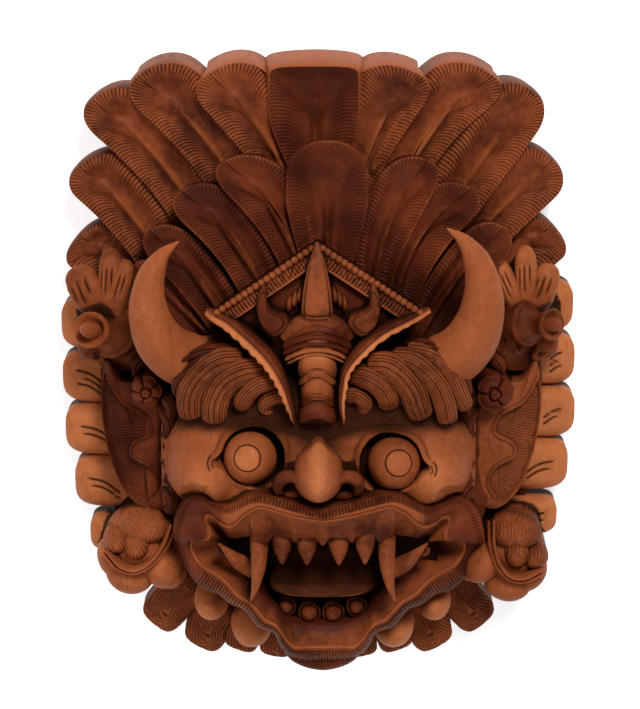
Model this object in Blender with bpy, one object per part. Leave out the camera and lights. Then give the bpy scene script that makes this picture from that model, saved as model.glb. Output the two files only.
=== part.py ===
"""A guardian mask carved from one block of hardwood, lying on its back.

The face looks up (+Z), the feathered crown points to +Y and the chin to -Y.
Sizes are written in millimetres and scaled to metres as each mesh is made.
"""

import math

import bmesh
import bpy
import numpy as np

for old in list(bpy.data.objects):
    bpy.data.objects.remove(old, do_unlink=True)

# ---- driving sizes, in millimetres and degrees ----
MM = 0.001
SMOOTH_ANGLE = math.radians(40)

BACK_HALF_WIDTH = 163
BACK_HALF_HEIGHT = 198
BACK_PLATE_TOP = 30
CROWN_BLOCK_TOP = 38
HEAD_BLOCK_TOP = 66
FACE_BLOCK_TOP = 100
HOLLOW_HALF_WIDTH = 96
HOLLOW_RIM = 20
HOLLOW_TOP = 58

MUZZLE_FRONT = 143
MOUTH_FLOOR = 88
MOUTH_AXIS = 3
RIGHT_STRETCH = 1.09
RIGHT_DROP = 8

EYE_RADIUS = 18
EYE_HEIGHT = 104
LEFT_EYE = (-47, -49)
RIGHT_EYE = (52, -53)
NOSE_TIP = (0, -54, 134)

LEAF_PITCH = 39
LEAF_HALF = 19


# ---- drawing tools ----
def curve(points, count):
    """Points spaced evenly along a smooth line through the given ones."""
    p = np.asarray(points, float)
    p = np.vstack([2 * p[0] - p[1], p, 2 * p[-1] - p[-2]])
    t = np.linspace(0, 1, 16, endpoint=False)[:, None]
    parts = []
    for a, b, c, d in zip(p, p[1:], p[2:], p[3:]):
        parts.append(b + 0.5 * t * (c - a + t * (2 * a - 5 * b + 4 * c - d
                                                 + t * (3 * b - 3 * c + d - a))))
    line = np.vstack(parts + [p[-2:-1]])
    run = np.r_[0, np.cumsum(np.linalg.norm(np.diff(line, axis=0), axis=1))]
    at = np.linspace(0, run[-1], count)
    return np.column_stack([np.interp(at, run, line[:, k]) for k in range(line.shape[1])])


def along(values, count):
    """Values spread evenly over count places."""
    return np.interp(np.linspace(0, 1, count), np.linspace(0, 1, len(values)), values)


def arc(centre, radii, start, end, heights, count=6):
    """Points along part of an ellipse, whose heights pass evenly through the given ones."""
    turn = np.radians(np.linspace(start, end, count))
    return np.column_stack([centre[0] + radii[0] * np.cos(turn),
                            centre[1] + radii[1] * np.sin(turn), along(heights, count)])


def mirrored(points):
    """The same points on the other side of the middle."""
    return np.asarray(points, float) * [-1, 1, 1]


SHELLS = []


def shell(grid):
    """A closed body from a grid of points: seams and poles weld, ends are filled."""
    grid = np.asarray(grid, float) * MM
    rows, columns = grid.shape[:2]
    bm = bmesh.new()
    bmesh.ops.create_grid(bm, x_segments=rows - 1, y_segments=columns - 1, size=1)
    for vert in bm.verts:
        i = round((vert.co.x + 1) / 2 * (rows - 1))
        j = round((vert.co.y + 1) / 2 * (columns - 1))
        vert.co = grid[i, j]
    bmesh.ops.remove_doubles(bm, verts=bm.verts, dist=0.02 * MM)
    bmesh.ops.dissolve_degenerate(bm, edges=bm.edges, dist=0.02 * MM)
    bmesh.ops.holes_fill(bm, edges=[e for e in bm.edges if e.is_boundary])
    bmesh.ops.triangulate(bm, faces=bm.faces)
    bmesh.ops.recalc_face_normals(bm, faces=bm.faces)
    if bm.calc_volume(signed=True) < 0:
        bmesh.ops.reverse_faces(bm, faces=bm.faces)
    mesh = bpy.data.meshes.new("shell")
    bm.to_mesh(mesh)
    bm.free()
    mesh.shade_smooth()
    mesh.set_sharp_from_angle(angle=SMOOTH_ANGLE)
    SHELLS.append(mesh)
    return mesh


def sweep(points, widths, depths, count=7, sides=6):
    """A tapering roll along a line. Widths lie across it, depths stand up from it."""
    line = curve(points, count)
    width = along(widths, count)[:, None]
    depth = along(depths, count)[:, None]
    run = np.gradient(line, axis=0)
    run /= np.linalg.norm(run, axis=1)[:, None]
    across = np.cross(run, [0, 0, 1.0])
    across /= np.linalg.norm(across, axis=1)[:, None] + 1e-9
    rise = np.cross(across, run)
    turn = np.linspace(0, 2 * math.pi, sides + 1)
    grid = [line + across * width * math.cos(a) + rise * depth * math.sin(a) for a in turn]
    return shell(np.swapaxes(np.array(grid), 0, 1))


def pillow(outline, foot, rim, top, count=24, rings=2, roundness=2.2):
    """A cushion on a closed outline: straight sides from foot to rim, then a dome."""
    line = curve(list(outline) + [outline[0]], count + 1)
    centre = line[:-1].mean(axis=0)
    grid = []
    for ring in np.linspace(1, 0, rings + 1):
        height = rim + (top - rim) * (1 - ring ** roundness)
        grid.append(np.column_stack([centre + (line - centre) * ring,
                                     np.full(count + 1, height)]))
    floor = np.full(count + 1, foot)
    grid.insert(0, np.column_stack([line, floor]))
    grid.insert(0, np.column_stack([np.repeat(centre[None], count + 1, 0), floor]))
    return shell(np.array(grid))


def egg(centre, radii, sides=10, rings=6):
    """An ellipsoid."""
    around = np.linspace(0, 2 * math.pi, sides + 1)[:, None]
    down = np.linspace(0, math.pi, rings + 1)[None]
    grid = np.stack([np.cos(around) * np.sin(down), np.sin(around) * np.sin(down),
                     np.cos(down) + 0 * around], axis=-1)
    return shell(np.array(centre) + grid * np.array(radii))


def turned(foot, tip, profile, sides=10):
    """A turned shape on the line from foot to tip: profile holds (share of the way, radius)."""
    foot, tip = np.array(foot, float), np.array(tip, float)
    run = (tip - foot) / np.linalg.norm(tip - foot)
    across = np.cross(run, [0, 1.0, 0])
    across /= np.linalg.norm(across)
    rise = np.cross(run, across)
    around = np.linspace(0, 2 * math.pi, sides + 1)
    grid = [[foot + (tip - foot) * share
             + radius * (across * math.cos(a) + rise * math.sin(a)) for a in around]
            for share, radius in profile]
    return shell(np.array(grid))


def superellipse(half_width, top, bottom, power_top, power_bottom, centre=(0, 0), count=28,
                 lean=0):
    """A rounded outline whose upper and lower halves have their own height and squareness.

    A lean moves it sideways in proportion to the height above its centre.
    """
    points = []
    for a in np.linspace(0, 2 * math.pi, count, endpoint=False):
        power = power_top if math.sin(a) >= 0 else power_bottom
        tall = top if math.sin(a) >= 0 else bottom
        c, s = math.cos(a), math.sin(a)
        y = tall * math.copysign(abs(s) ** (2 / power), s)
        x = half_width * math.copysign(abs(c) ** (2 / power), c) + lean * y
        points.append((centre[0] + x, centre[1] + y))
    return points


# ---- crown: two fans of feathers ----
# A fan's tips end on a rounded square line round its centre and its roots on a spiral.
OUTER_FAN = {
    "centre": (-2, 20), "half_width": 164, "reach": 189, "squareness": 8,
    "root": 100, "root_spread": 0.42, "root_height": 54, "tip_height": 58, "tip_fall": 0.0045,
    "foot": 6, "set_back": 0, "bulge": 2, "flare": 0.85, "blunt": 0.76,
    "middle_rise": 5, "middle_back": 6, "middle_blunt": 0.13,
}
INNER_FAN = {
    "centre": (6, 20), "half_width": 142, "reach": 147, "squareness": 2.2,
    "root": 30, "root_spread": 0.35, "root_height": 72, "tip_height": 79, "tip_fall": 0.0038,
    "foot": 12, "set_back": -5, "bulge": 0.5, "flare": 0.8, "blunt": 0.74,
    "middle_rise": -1, "middle_back": 0, "middle_blunt": 0,
}
ROOT_FALL = 0.15

# side, tip angle and root angle from the middle, bow, outer half width, inner half width
OUTER_FEATHERS = [
    (-1, 21, 9, 8, 21, 27), (-1, 33, 27, 8, 19, 27), (-1, 42, 43, 7, 19, 25),
    (-1, 53, 61, 5, 19, 24), (-1, 66, 75, 4, 23, 20),
    (1, 20, 15, 7, 18, 30), (1, 33, 29, 12, 18, 28), (1, 40, 46, 1, 20, 25),
    (1, 52, 58, 2, 21, 24), (1, 64, 73, 4, 24, 20),
]
INNER_FEATHERS = [
    (-1, 28, 24, 14, 18, 22), (-1, 42, 56, 10, 18, 20), (-1, 56, 90, 6, 15, 17),
    (-1, 67, 102, 2, 11, 14),
    (1, 27, 44, 8, 17, 21), (1, 41, 62, 11, 18, 20), (1, 55, 90, 4, 17, 17),
]


def fan_tip(fan, angle):
    """How far from the fan's centre its edge line lies, in the direction of the angle."""
    power = fan["squareness"]
    across = abs(math.sin(angle)) / fan["half_width"]
    up = abs(math.cos(angle)) / fan["reach"]
    return (across ** power + up ** power) ** (-1 / power)


def feather(fan, side, tip_angle, root_angle, bow, outer, inner, middle=False):
    """One broad feather: a bowed midrib with a hollow outer vane and a rolled inner vane.

    outer and inner are the half widths on the sides away from and towards the middle
    of the mask. The end face slopes back on its way down to the foot.
    """
    turn, root_turn = math.radians(tip_angle), math.radians(root_angle)
    centre = np.array(fan["centre"], float)
    reach = fan_tip(fan, turn) + (fan["middle_rise"] if middle else 0)
    tip = centre + reach * np.array([side * math.sin(turn), math.cos(turn)])
    root = fan["root"] + fan["root_spread"] * root_angle
    base = centre + root * np.array([side * math.sin(root_turn), math.cos(root_turn)])
    low = fan["root_height"] - ROOT_FALL * tip_angle
    high = fan["tip_height"] - fan["tip_fall"] * tip_angle ** 2
    flare = 0.45 if middle else fan["flare"]
    blunt = fan["blunt"] + (fan["middle_blunt"] if middle else 0)
    set_back = fan["set_back"] + (fan["middle_back"] if middle else 0)

    run = (tip - base) / np.linalg.norm(tip - base)
    outward = np.array([run[1], -run[0]]) * side
    ease = math.sin(math.pi / 4)
    share = np.array([0, 0.35, blunt, 1 - (1 - blunt) * (1 - ease), 1 - (1 - blunt) * 0.1, 1])
    closing = np.clip((share - blunt) / (1 - blunt), 0, 1)
    width = (flare + (1 - flare) * np.clip(share / 0.6, 0, 1)) * (1 - closing ** 2.3) ** (1 / 2.3)
    midrib = base + (tip - base) * share[:, None] - outward * (bow * 4 * share * (1 - share))[:, None]
    near = np.clip(share * 1.1, 0, 0.93)
    rib = base + (tip - base) * near[:, None] - outward * (bow * 4 * near * (1 - near))[:, None]
    grid = []
    for half, sign, dip in ((outer, 1, -5.5), (inner, -1, -2)):
        edge = midrib + sign * outward * (half * width)[:, None]
        order = range(len(share)) if sign > 0 else range(len(share) - 1, -1, -1)
        for k in order:
            z = low + (high - low) * share[k]
            away = (edge[k] - rib[k]) / np.linalg.norm(edge[k] - rib[k])
            hollow = edge[k] * 0.6 + rib[k] * 0.4
            bulge = edge[k] + away * max(fan["bulge"], set_back * 0.7)
            grid.append([(*rib[k], z - 1), (*hollow, z + dip), (*edge[k], z),
                         (*bulge, z * 0.65 + fan["foot"] * 0.35),
                         (*(edge[k] + away * set_back), fan["foot"]), (*rib[k], fan["foot"])])
    return shell(np.array(grid))


feather(OUTER_FAN, 1, 0, 0, 0, 29, 31, middle=True)
feather(INNER_FAN, 1, 0, 0, 0, 28, 28, middle=True)
for shape in OUTER_FEATHERS:
    feather(OUTER_FAN, *shape)
for shape in INNER_FEATHERS:
    feather(INNER_FAN, *shape)

# ---- block behind everything, in four steps ----
pillow(superellipse(BACK_HALF_WIDTH, BACK_HALF_HEIGHT, BACK_HALF_HEIGHT, 4, 3.2),
       0, BACK_PLATE_TOP - 4, BACK_PLATE_TOP, count=32, rings=1)
pillow(superellipse(140, 150, 140, 2.6, 2.4, (0, -30)),
       10, CROWN_BLOCK_TOP - 12, CROWN_BLOCK_TOP, rings=1)
pillow(superellipse(128, 92, 125, 3, 2.4, (0, -60)),
       20, HEAD_BLOCK_TOP - 18, HEAD_BLOCK_TOP, rings=1)
pillow(superellipse(104, 60, 100, 2.6, 2.6, (0, -75)),
       20, FACE_BLOCK_TOP - 16, FACE_BLOCK_TOP, rings=2)

# ---- cheeks, eyes and nose ----
pillow(superellipse(104, 66, 30, 2.4, 4, (1, -72)), 60, 92, 114, count=22)
for x, y in (LEFT_EYE, RIGHT_EYE):
    egg((x, y, EYE_HEIGHT), (EYE_RADIUS, EYE_RADIUS, EYE_RADIUS), 12, 8)
    for rise, lid_top in ((1, 115), (-1, 108)):
        sweep([(x - 25, y, 100), (x - 10, y + 22 * rise, lid_top),
               (x + 10, y + 22 * rise, lid_top), (x + 25, y, 100)], [3, 4, 4, 3], [8, 9, 9, 8], 6, 6)
for side in (-1, 1):
    egg((79 * side, -66, 90), (23, 29, 28), 10, 6)
    egg((21 * side, NOSE_TIP[1] - 9, NOSE_TIP[2] - 10), (11, 10, 15), 8, 6)
sweep([(0, -10, 112), (0, -28, 122), (0, -46, 134)], [9, 11, 16], [12, 14, 20], 4, 8)
egg(NOSE_TIP, (17.5, 21, 25), 12, 7)

# ---- lips: one band all round the mouth ----
# Half of the band from the top round to the bottom, as distances from the mouth's axis:
# its outer edge, its raised rim and the edge of the opening.
HALF_LIPS = [
    ((0, -77), (0, -83), (0, -97)),
    ((18, -73), (20, -80), (18, -98)),
    ((38, -69), (40, -76), (38, -98)),
    ((52, -72), (52, -81), (50, -102)),
    ((65, -80), (63, -92), (60, -105)),
    ((82, -77), (74, -90), (64, -107)),
    ((94, -82), (80, -93), (66, -109)),
    ((101, -92), (79, -100), (67, -112)),
    ((104, -104), (83, -108), (67, -114)),
    ((101, -119), (91, -115), (67, -119)),
    ((95, -136), (87, -127), (65, -125)),
    ((83, -149), (70, -136), (58, -133)),
    ((65, -159), (58, -148), (50, -143)),
    ((51, -168), (45, -158), (42, -151)),
    ((34, -180), (31, -170), (32, -162)),
    ((27, -194), (21, -184), (22, -170)),
    ((0, -200), (0, -185), (0, -174)),
]


def both_sides(half):
    """A closed line round the mouth from one half. The right side is wider and hangs lower."""
    x, y = np.array(half, float).T
    left = np.column_stack([MOUTH_AXIS - x, y])
    right = np.column_stack([MOUTH_AXIS + (RIGHT_STRETCH * x), y - RIGHT_DROP * (x / 100) ** 2])
    return np.vstack([left, right[-2::-1]])


def muzzle_height(x, y):
    """The front of the muzzle is rounded across and leans back towards the chin."""
    return MUZZLE_FRONT - 0.0058 * x * x - 0.42 * np.maximum(0, -110 - y)


def lips(count=38):
    """Outer edge, rim and opening joined by a ring of faces, with walls down into the block."""
    outer, rim, opening = (curve(both_sides([row[k] for row in HALF_LIPS]), count + 1)
                           for k in range(3))
    front = muzzle_height(rim[:, 0], rim[:, 1])
    lower = np.clip((-110 - rim[:, 1]) / 40, 0, 1)
    grid = []
    for line, drop in ((outer * 1.02, 40), (outer, 8 + 6 * lower), (rim, 0), (opening, 12),
                       (opening, 46)):
        grid.append(np.column_stack([line, front - drop]))
    grid.append(grid[0])
    return shell(np.array(grid))


lips()
pillow(superellipse(80, 40, 52, 2.4, 2.2, (MOUTH_AXIS, -125)), 60, 80, MOUTH_FLOOR, count=20,
       rings=1)
sweep([(-30, -185, 80), (-14, -197, 87), (MOUTH_AXIS, -202, 88), (20, -197, 87),
       (36, -185, 80)], [5, 9, 10, 9, 5], [10, 13, 14, 13, 10], 7, 6)

# ---- teeth, fangs, tusks and tongue ----
TEETH_AT = (-25, -8, 14, 32)
for k, x in enumerate(TEETH_AT):
    half, long = (7.5, 18) if k in (1, 2) else (7, 17)
    sweep([(x, -86, 106), (x, -103, 119), (x, -103 - long, 124)], [half, half, 1.5], [9, 9, 2], 4, 6)
for side in (-1, 1):
    x = MOUTH_AXIS + 44 * side
    sweep([(x, -90, 98), (x, -106, 118), (x + side, -126, 126), (x + 6 * side, -147, 123)],
          [7, 7, 5.5, 0.8], [8, 8, 6, 0.8], 6, 6)
    sweep([(MOUTH_AXIS + 47 * side, -136, 91), (MOUTH_AXIS + 58 * side, -124, 106),
           (MOUTH_AXIS + 72 * side, -108, 114)], [7, 6, 0.8], [8, 6, 0.8], 4, 6)
    for reach, size in ((8.5, 6.5), (25, 5.5)):
        egg((MOUTH_AXIS - 1 + reach * side, -170 + reach * 0.3, 86), (size, size, 13), 7, 4)
pillow(superellipse(38, 20, 12, 2.6, 3.2, (MOUTH_AXIS, -137)), 70, 92, 103, count=14, rings=1)

# ---- brows: curling locks that spring from the flaps and fall over the eyes ----
# For each lock, half its width, its height and the line down its middle, root first.
LEFT_LOCKS = (
    (5.5, 113, ((-21, -7), (-29, -5), (-36, -9), (-34, -15))),
    (7.5, 118, ((-29, 6), (-39, 6), (-46, 2), (-51, -5), (-52, -12))),
    (9.5, 121, ((-39, 14), (-52, 13), (-63, 7), (-69, -3), (-71, -13), (-71, -22))),
    (9.5, 119, ((-52, 21), (-67, 20), (-79, 12), (-86, 1), (-88, -10), (-87, -20))),
    (6, 112, ((-60, 24), (-78, 22), (-90, 13), (-95, 3), (-95, -5))),
    (3, 112, ((-58, 27), (-78, 27), (-92, 22), (-101, 17), (-109, 16))),
)
RIGHT_LOCKS = (
    (6, 113, ((19, -6), (26, -4), (31, -8), (30, -14))),
    (8.5, 118, ((23, 10), (34, 9), (43, 3), (47, -4), (48, -12))),
    (9.5, 121, ((34, 18), (47, 18), (57, 11), (64, 1), (67, -8), (71, -20))),
    (8.5, 119, ((50, 22), (63, 21), (73, 14), (81, 4), (86, -9), (89, -24))),
    (7, 113, ((60, 26), (76, 23), (87, 15), (93, 4), (98, -8), (101, -14))),
    (3, 107, ((66, 30), (82, 28), (94, 19), (101, 6), (104, -6))),
)
BROW_BED = (60, 4)
for side, locks in ((-1, LEFT_LOCKS), (1, RIGHT_LOCKS)):
    pillow(superellipse(36, 22, 22, 2.2, 2.6, (BROW_BED[0] * side, BROW_BED[1]), 18), 70, 100, 108,
           count=16)
    for half, crest, line in locks:
        rise = along((crest - 7, crest, crest + 1, crest - 1, crest - 7), len(line)) - 9
        sweep(np.column_stack([line, rise]), [half * 0.8, half, half, half, half * 0.85],
              [8, 11, 12, 11, 7], 6, 6)

# ---- horns: round horns along an arc of an ellipse, rising to their tips ----
HORN_RISE = (74, 90, 104, 114, 120, 124)
sweep(arc((-79, 62), (36, 48), -75, -247, HORN_RISE, 9), [16, 19.5, 17, 13, 8.5, 0.8],
      [15, 19, 17, 13, 9, 0.8], 9, 9)
sweep(arc((73, 65), (38, 53), -105, 71, HORN_RISE, 9), [16, 20, 18, 14, 9, 0.8],
      [15, 19, 18, 14, 9, 0.8], 9, 9)

# ---- tiara: spike, crescents, jewelled edge, flaps and a ringed trunk ----
TIARA_AXIS = -1
# The flaps that run from the tiara's lower corners to the trunk, and half their width.
FLAPS = (
    (((-70, 48, 84), (-56, 41, 97), (-37, 25, 110), (-26, 9, 117), (-20, -8, 117),
      (-17, -20, 112)), 5),
    (((70, 50, 84), (44, 40, 103), (29, 28, 110), (20, 17, 115), (16, -6, 117),
      (17, -20, 112)), 4),
)
turned((TIARA_AXIS, 44, 100), (TIARA_AXIS, 103, 106), ((0, 0), (0.02, 11), (0.5, 8), (1, 0.6)), 8)
crescent = arc((30, 54), (11, 18), 80, -130, (90, 98, 102, 101), 7)
for side in (-1, 1):
    sweep(crescent if side > 0 else mirrored(crescent), [1, 4, 6, 6, 3], [5, 10, 13, 13, 9], 7, 6)
    sweep([(TIARA_AXIS, 97, 84), (69 * side, 50, 84)], [4, 4], [12, 11], 4, 6)
for line, half in FLAPS:
    sweep(line, [half * 0.8, half, half, half, half * 0.5], [12, 15, 15, 12, 6], 7, 6)
pillow([(TIARA_AXIS, 94), (-34, 70), (-70, 47), (-40, 20), (-22, -16), (20, -16), (38, 20),
        (68, 47), (32, 70)], 60, 86, 98, count=18, rings=1)
sweep([(TIARA_AXIS, 38, 96), (TIARA_AXIS, 10, 108), (TIARA_AXIS, -20, 116)], [14, 13, 15],
      [12, 12, 12], 4, 8)
for k, half in enumerate((24, 17, 16, 15, 16, 17)):
    y, z = 32 - 9.8 * k, 104 + 3.4 * k
    sweep([(TIARA_AXIS - half, y - 3, z - 12), (TIARA_AXIS, y + 2, z + 6),
           (TIARA_AXIS + half, y - 3, z - 12)], [5.5, 6, 5.5], [6, 8, 6], 5, 6)

# ---- ears with a flower above each ----
EAR_LEAN = 0.2
for side, x, y in ((-1, -128, -48), (1, 133, -46)):
    pillow(superellipse(22, 44, 48, 2.8, 2.2, (x, y), 20, EAR_LEAN * side), 20, 50, 62,
           count=16, rings=2)
    pillow(superellipse(12, 12, 12, 2, 2, (x - 9 * side, y + 40), 10), 46, 76, 84, count=10,
           rings=1)

# ---- palmettes and turned ear studs beside the horns ----
STUD = ((0, 0), (0.02, 18.5), (0.22, 18), (0.32, 9.5), (0.66, 12), (0.78, 11), (0.82, 5.5),
        (0.96, 4), (1, 0))
STUD_AWAY = [(-0.5, 0), (-0.5, 13)] + [(share, 0.88 * radius) for share, radius in STUD[1:]]
LEFT_LOBES = ((-24, 33, 10), (3, 43, 8), (15, 36, 6))
RIGHT_LOBES = ((-16, 31, 8), (4, 43, 8), (25, 38, 6))
for side, y, lobes in ((-1, 44, LEFT_LOBES), (1, 46, RIGHT_LOBES)):
    for lean, long, half in lobes:
        tilt = math.radians(lean)
        toward = np.array([-side * math.sin(tilt), math.cos(tilt)])
        root = np.array([side * (148 - lean * 0.3), y])
        line = [(*(root + toward * long * share), 54 + height)
                for share, height in ((0, 0), (0.5, 7), (0.85, 6), (1, 2))]
        sweep(line, [7, half, half - 1, half * 0.5], [10, 10, 8, 3], 6, 6)
    pillow(superellipse(26, 44, 36, 2.4, 2.4, (140 * side, 38)), 8, 44, 54, count=14, rings=1)
    for x, end in ((162, (148, y - 35)), (136, (137, y - 30))):
        sweep([(x * side, y - 20, 52), (((x + end[0]) / 2 + 2) * side, y - 32, 56),
               (end[0] * side, end[1], 54)], [7, 8, 4], [8, 8, 5], 4, 6)
turned((-147, 28, 50), (-160, 41, 107), STUD)
turned((144, 37, 64), (166, 41, 90), STUD_AWAY)

# ---- leaves down the sides and feathers below the beard ----
# The side, the place of its first leaf, and how far out each leaf of that side reaches.
LEAVES = ((-1, 27, (184, 184, 182, 176, 166)), (1, 40, (180, 183, 184, 180, 173)))
for side, first, reach in LEAVES:
    for k, far in enumerate(reach):
        y = first - LEAF_PITCH * k
        tall = LEAF_HALF if k < 4 else 15
        pillow([(side * 120, y - tall), (side * (far - 12), y - tall), (side * far, y - 8),
                (side * far, y + 7), (side * (far - 14), y + tall), (side * 120, y + tall)],
               5, 26, 32, count=12, rings=1)
# place, turn from straight down, top height, length and half width
BEARD_FEATHERS = ((106, -184, 41, 26, 22, 15), (77, -196, 29, 28, 20, 15),
                  (54, -203, 20, 32, 13, 12), (30, -207, 11, 38, 12, 12))
for side in (-1, 1):
    for x, y, lean, z, long, half in BEARD_FEATHERS:
        turn = math.radians(lean)
        run = np.array([side * math.sin(turn), -math.cos(turn)])
        across = np.array([run[1], -run[0]])
        centre = np.array([side * x, y])
        outline = [centre + run * a * long + across * b * half for a, b in
                   ((-1.4, -1), (0.5, -1), (1, -0.4), (1, 0.4), (0.5, 1), (-1.4, 1))]
        pillow(outline, 5, z, z + 5, count=10, rings=1)

# ---- flower buds and beard curls ----
for side, x, y in ((-1, -127, -132), (1, 135, -136)):
    egg((x, y, 42), (28, 31, 42), 12, 7)
    for angle in (35, 145, 270):
        turn = math.radians(angle)
        egg((x + 14 * math.cos(turn), y + 15 * math.sin(turn), 54), (15, 15, 26), 8, 5)
    for reach, drop, size in ((80, -172, 13), (51, -190, 15.5)):
        egg((MOUTH_AXIS + reach * side, drop, 44), (size, size, size + 18), 9, 6)


# ---- join the carving, then cut the hollow behind the face ----
def material(name, colour, roughness):
    made = bpy.data.materials.new(name)
    made.use_nodes = True
    shader = made.node_tree.nodes["Principled BSDF"]
    shader.inputs["Base Color"].default_value = (*colour, 1)
    shader.inputs["Roughness"].default_value = roughness
    shader.inputs["Metallic"].default_value = 0
    return made


wood = material("stained_wood", (0.19, 0.062, 0.026), 0.38)
hidden = bpy.data.collections.new("carving_helpers")
bpy.context.scene.collection.children.link(hidden)


def helper(mesh, name):
    """A hidden object for a modifier to use."""
    made = bpy.data.objects.new(name, mesh)
    hidden.objects.link(made)
    made.hide_render = True
    made.display_type = "WIRE"
    return made


mask = bpy.data.objects.new("mask", SHELLS[0])
bpy.context.scene.collection.objects.link(mask)
mask.data.materials.append(wood)
for k, mesh in enumerate(SHELLS[1:]):
    join = mask.modifiers.new(f"join_{k}", "BOOLEAN")
    join.operation = "UNION"
    join.solver = "MANIFOLD"
    join.object = helper(mesh, f"shape_{k}")

FACETS_KEPT = 0.55
thin = mask.modifiers.new("even_facets", "DECIMATE")
thin.ratio = FACETS_KEPT
hollow_mesh = pillow(superellipse(HOLLOW_HALF_WIDTH, 84, 106, 2.6, 2.4, (0, -52)),
                     -10, HOLLOW_RIM, HOLLOW_TOP, count=28, rings=3, roundness=2.4)
hollow = helper(hollow_mesh, "hollow_cutter")
cut = mask.modifiers.new("hollow", "BOOLEAN")
cut.operation = "DIFFERENCE"
cut.solver = "MANIFOLD"
cut.object = hollow
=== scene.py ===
import math

import bmesh
import bpy
import numpy as np
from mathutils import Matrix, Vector


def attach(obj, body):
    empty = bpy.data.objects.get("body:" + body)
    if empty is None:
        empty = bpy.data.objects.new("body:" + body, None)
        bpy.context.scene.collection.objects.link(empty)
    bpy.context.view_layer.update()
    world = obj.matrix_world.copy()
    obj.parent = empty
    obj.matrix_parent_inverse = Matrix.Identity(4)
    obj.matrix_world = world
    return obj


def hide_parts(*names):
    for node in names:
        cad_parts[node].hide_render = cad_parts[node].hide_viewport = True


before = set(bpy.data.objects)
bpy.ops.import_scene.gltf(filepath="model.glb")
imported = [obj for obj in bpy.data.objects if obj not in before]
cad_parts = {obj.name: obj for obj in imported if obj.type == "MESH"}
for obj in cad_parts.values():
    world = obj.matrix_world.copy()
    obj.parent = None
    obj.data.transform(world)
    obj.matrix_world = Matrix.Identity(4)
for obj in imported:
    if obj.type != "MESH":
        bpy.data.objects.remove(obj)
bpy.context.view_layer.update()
print("frame loaded")

mm = 0.001
scene = bpy.context.scene
pieces = []


def meshFrom(bm, name):
    mesh = bpy.data.meshes.new(name)
    bm.to_mesh(mesh)
    bm.free()
    return mesh


def objectFrom(data, name):
    made = bpy.data.objects.new(name, data)
    scene.collection.objects.link(made)
    return made


def smoothThrough(points, at):
    # places on a smooth line through the points, where at is how many points it has passed
    p = np.asarray(points, float)
    p = np.vstack([2 * p[0] - p[1], p, 2 * p[-1] - p[-2]])
    cell = np.clip(np.asarray(at).astype(int), 0, len(p) - 4)
    t = (at - cell)[:, None]
    a, b, c, d = (p[cell + k] for k in range(4))
    return b + 0.5 * t * (c - a + t * (2 * a - 5 * b + 4 * c - d + t * (3 * b - 3 * c + d - a)))


def curve(points, count, perSpan=24):
    # even places along a smooth line through the points
    spans = len(points) - 1
    return spread(smoothThrough(points, np.linspace(0, spans, perSpan * spans + 1)), count)


def runAlong(line):
    return np.r_[0, np.cumsum(np.linalg.norm(np.diff(line, axis=0), axis=1))]


def lengthOf(line):
    return runAlong(line)[-1]


def spread(line, count):
    run = runAlong(line)
    at = np.linspace(0, run[-1], count)
    return np.column_stack([np.interp(at, run, line[:, k]) for k in range(line.shape[1])])


def along(values, t):
    return np.interp(t, np.linspace(0, 1, len(values)), values)


def mirrored(points, side, about=0.0):
    # the points measured from about, turned over for side -1
    return [(about + side * x, *rest) for x, *rest in points]


def raised(line, z):
    return np.column_stack([line, np.broadcast_to(z, len(line))])


def everyThird(count):
    # the deep lines of a row of cuts, with two shallow ones between them
    return np.where(np.arange(count) % 3 == 0, 1.0, 0.1)


def smooth(x, low=0.0, high=1.0):
    t = np.clip((x - low) / (high - low), 0, 1)
    return t * t * (3 - 2 * t)


def hump(x, middle, width):
    return np.exp(-((x - middle) / width) ** 2)


def notch(phase, width=0.3):
    # 1 in the cut and 0 between the cuts, once per turn of the phase
    return np.clip(1 - np.abs(phase - np.round(phase)) / width, 0, 1)


def dome(x, y, centre, radii, low, high, power=0.5, fall=25):
    # a rounded swelling from low to high; outside its radii the height falls away
    d = ((x - centre[0]) / radii[0]) ** 2 + ((y - centre[1]) / radii[1]) ** 2
    inside = low + (high - low) * np.clip(1 - d, 0, None) ** power
    return np.where(d < 1, inside, low - fall * (np.sqrt(d) - 1))


def melt(*heights, soft=3.0):
    # the highest of several surfaces, with soft valleys between them
    stack = np.stack(np.broadcast_arrays(*heights)) / soft
    top = stack.max(axis=0)
    return soft * (top + np.log(np.exp(stack - top).sum(axis=0)))


def nearLine(x, y, line):
    # distance to a line, share of the way along it, and the side it is on
    p = np.stack([x, y], -1)[..., None, :]
    a, step = line[:-1], np.diff(line, axis=0)
    t = np.clip(((p - a) * step).sum(-1) / (step * step).sum(-1), 0, 1)
    gap = p - (a + t[..., None] * step)
    far = np.linalg.norm(gap, axis=-1)
    k = far.argmin(-1)[..., None]
    near = np.take_along_axis(far, k, -1)[..., 0]
    turn = gap[..., 1] * step[:, 0] - gap[..., 0] * step[:, 1]
    side = np.sign(np.take_along_axis(turn, k, -1)[..., 0])
    share = (k[..., 0] + np.take_along_axis(t, k, -1)[..., 0]) / len(step)
    return near, share, side


def carve(x, y, lines, width):
    # how deep tapering grooves along the lines are at each place, 0 to 1
    cutAndPaintedShade = np.zeros(np.shape(x))
    for line in lines:
        near, share, _ = nearLine(x, y, line)
        lift = smooth(share, 0, 0.12) * smooth(1 - share, 0, 0.12)
        cutAndPaintedShade = np.maximum(cutAndPaintedShade, np.exp(-(near / (width * (0.35 + 0.65 * lift))) ** 2) * (0.3 + 0.7 * lift))
    return cutAndPaintedShade


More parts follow.
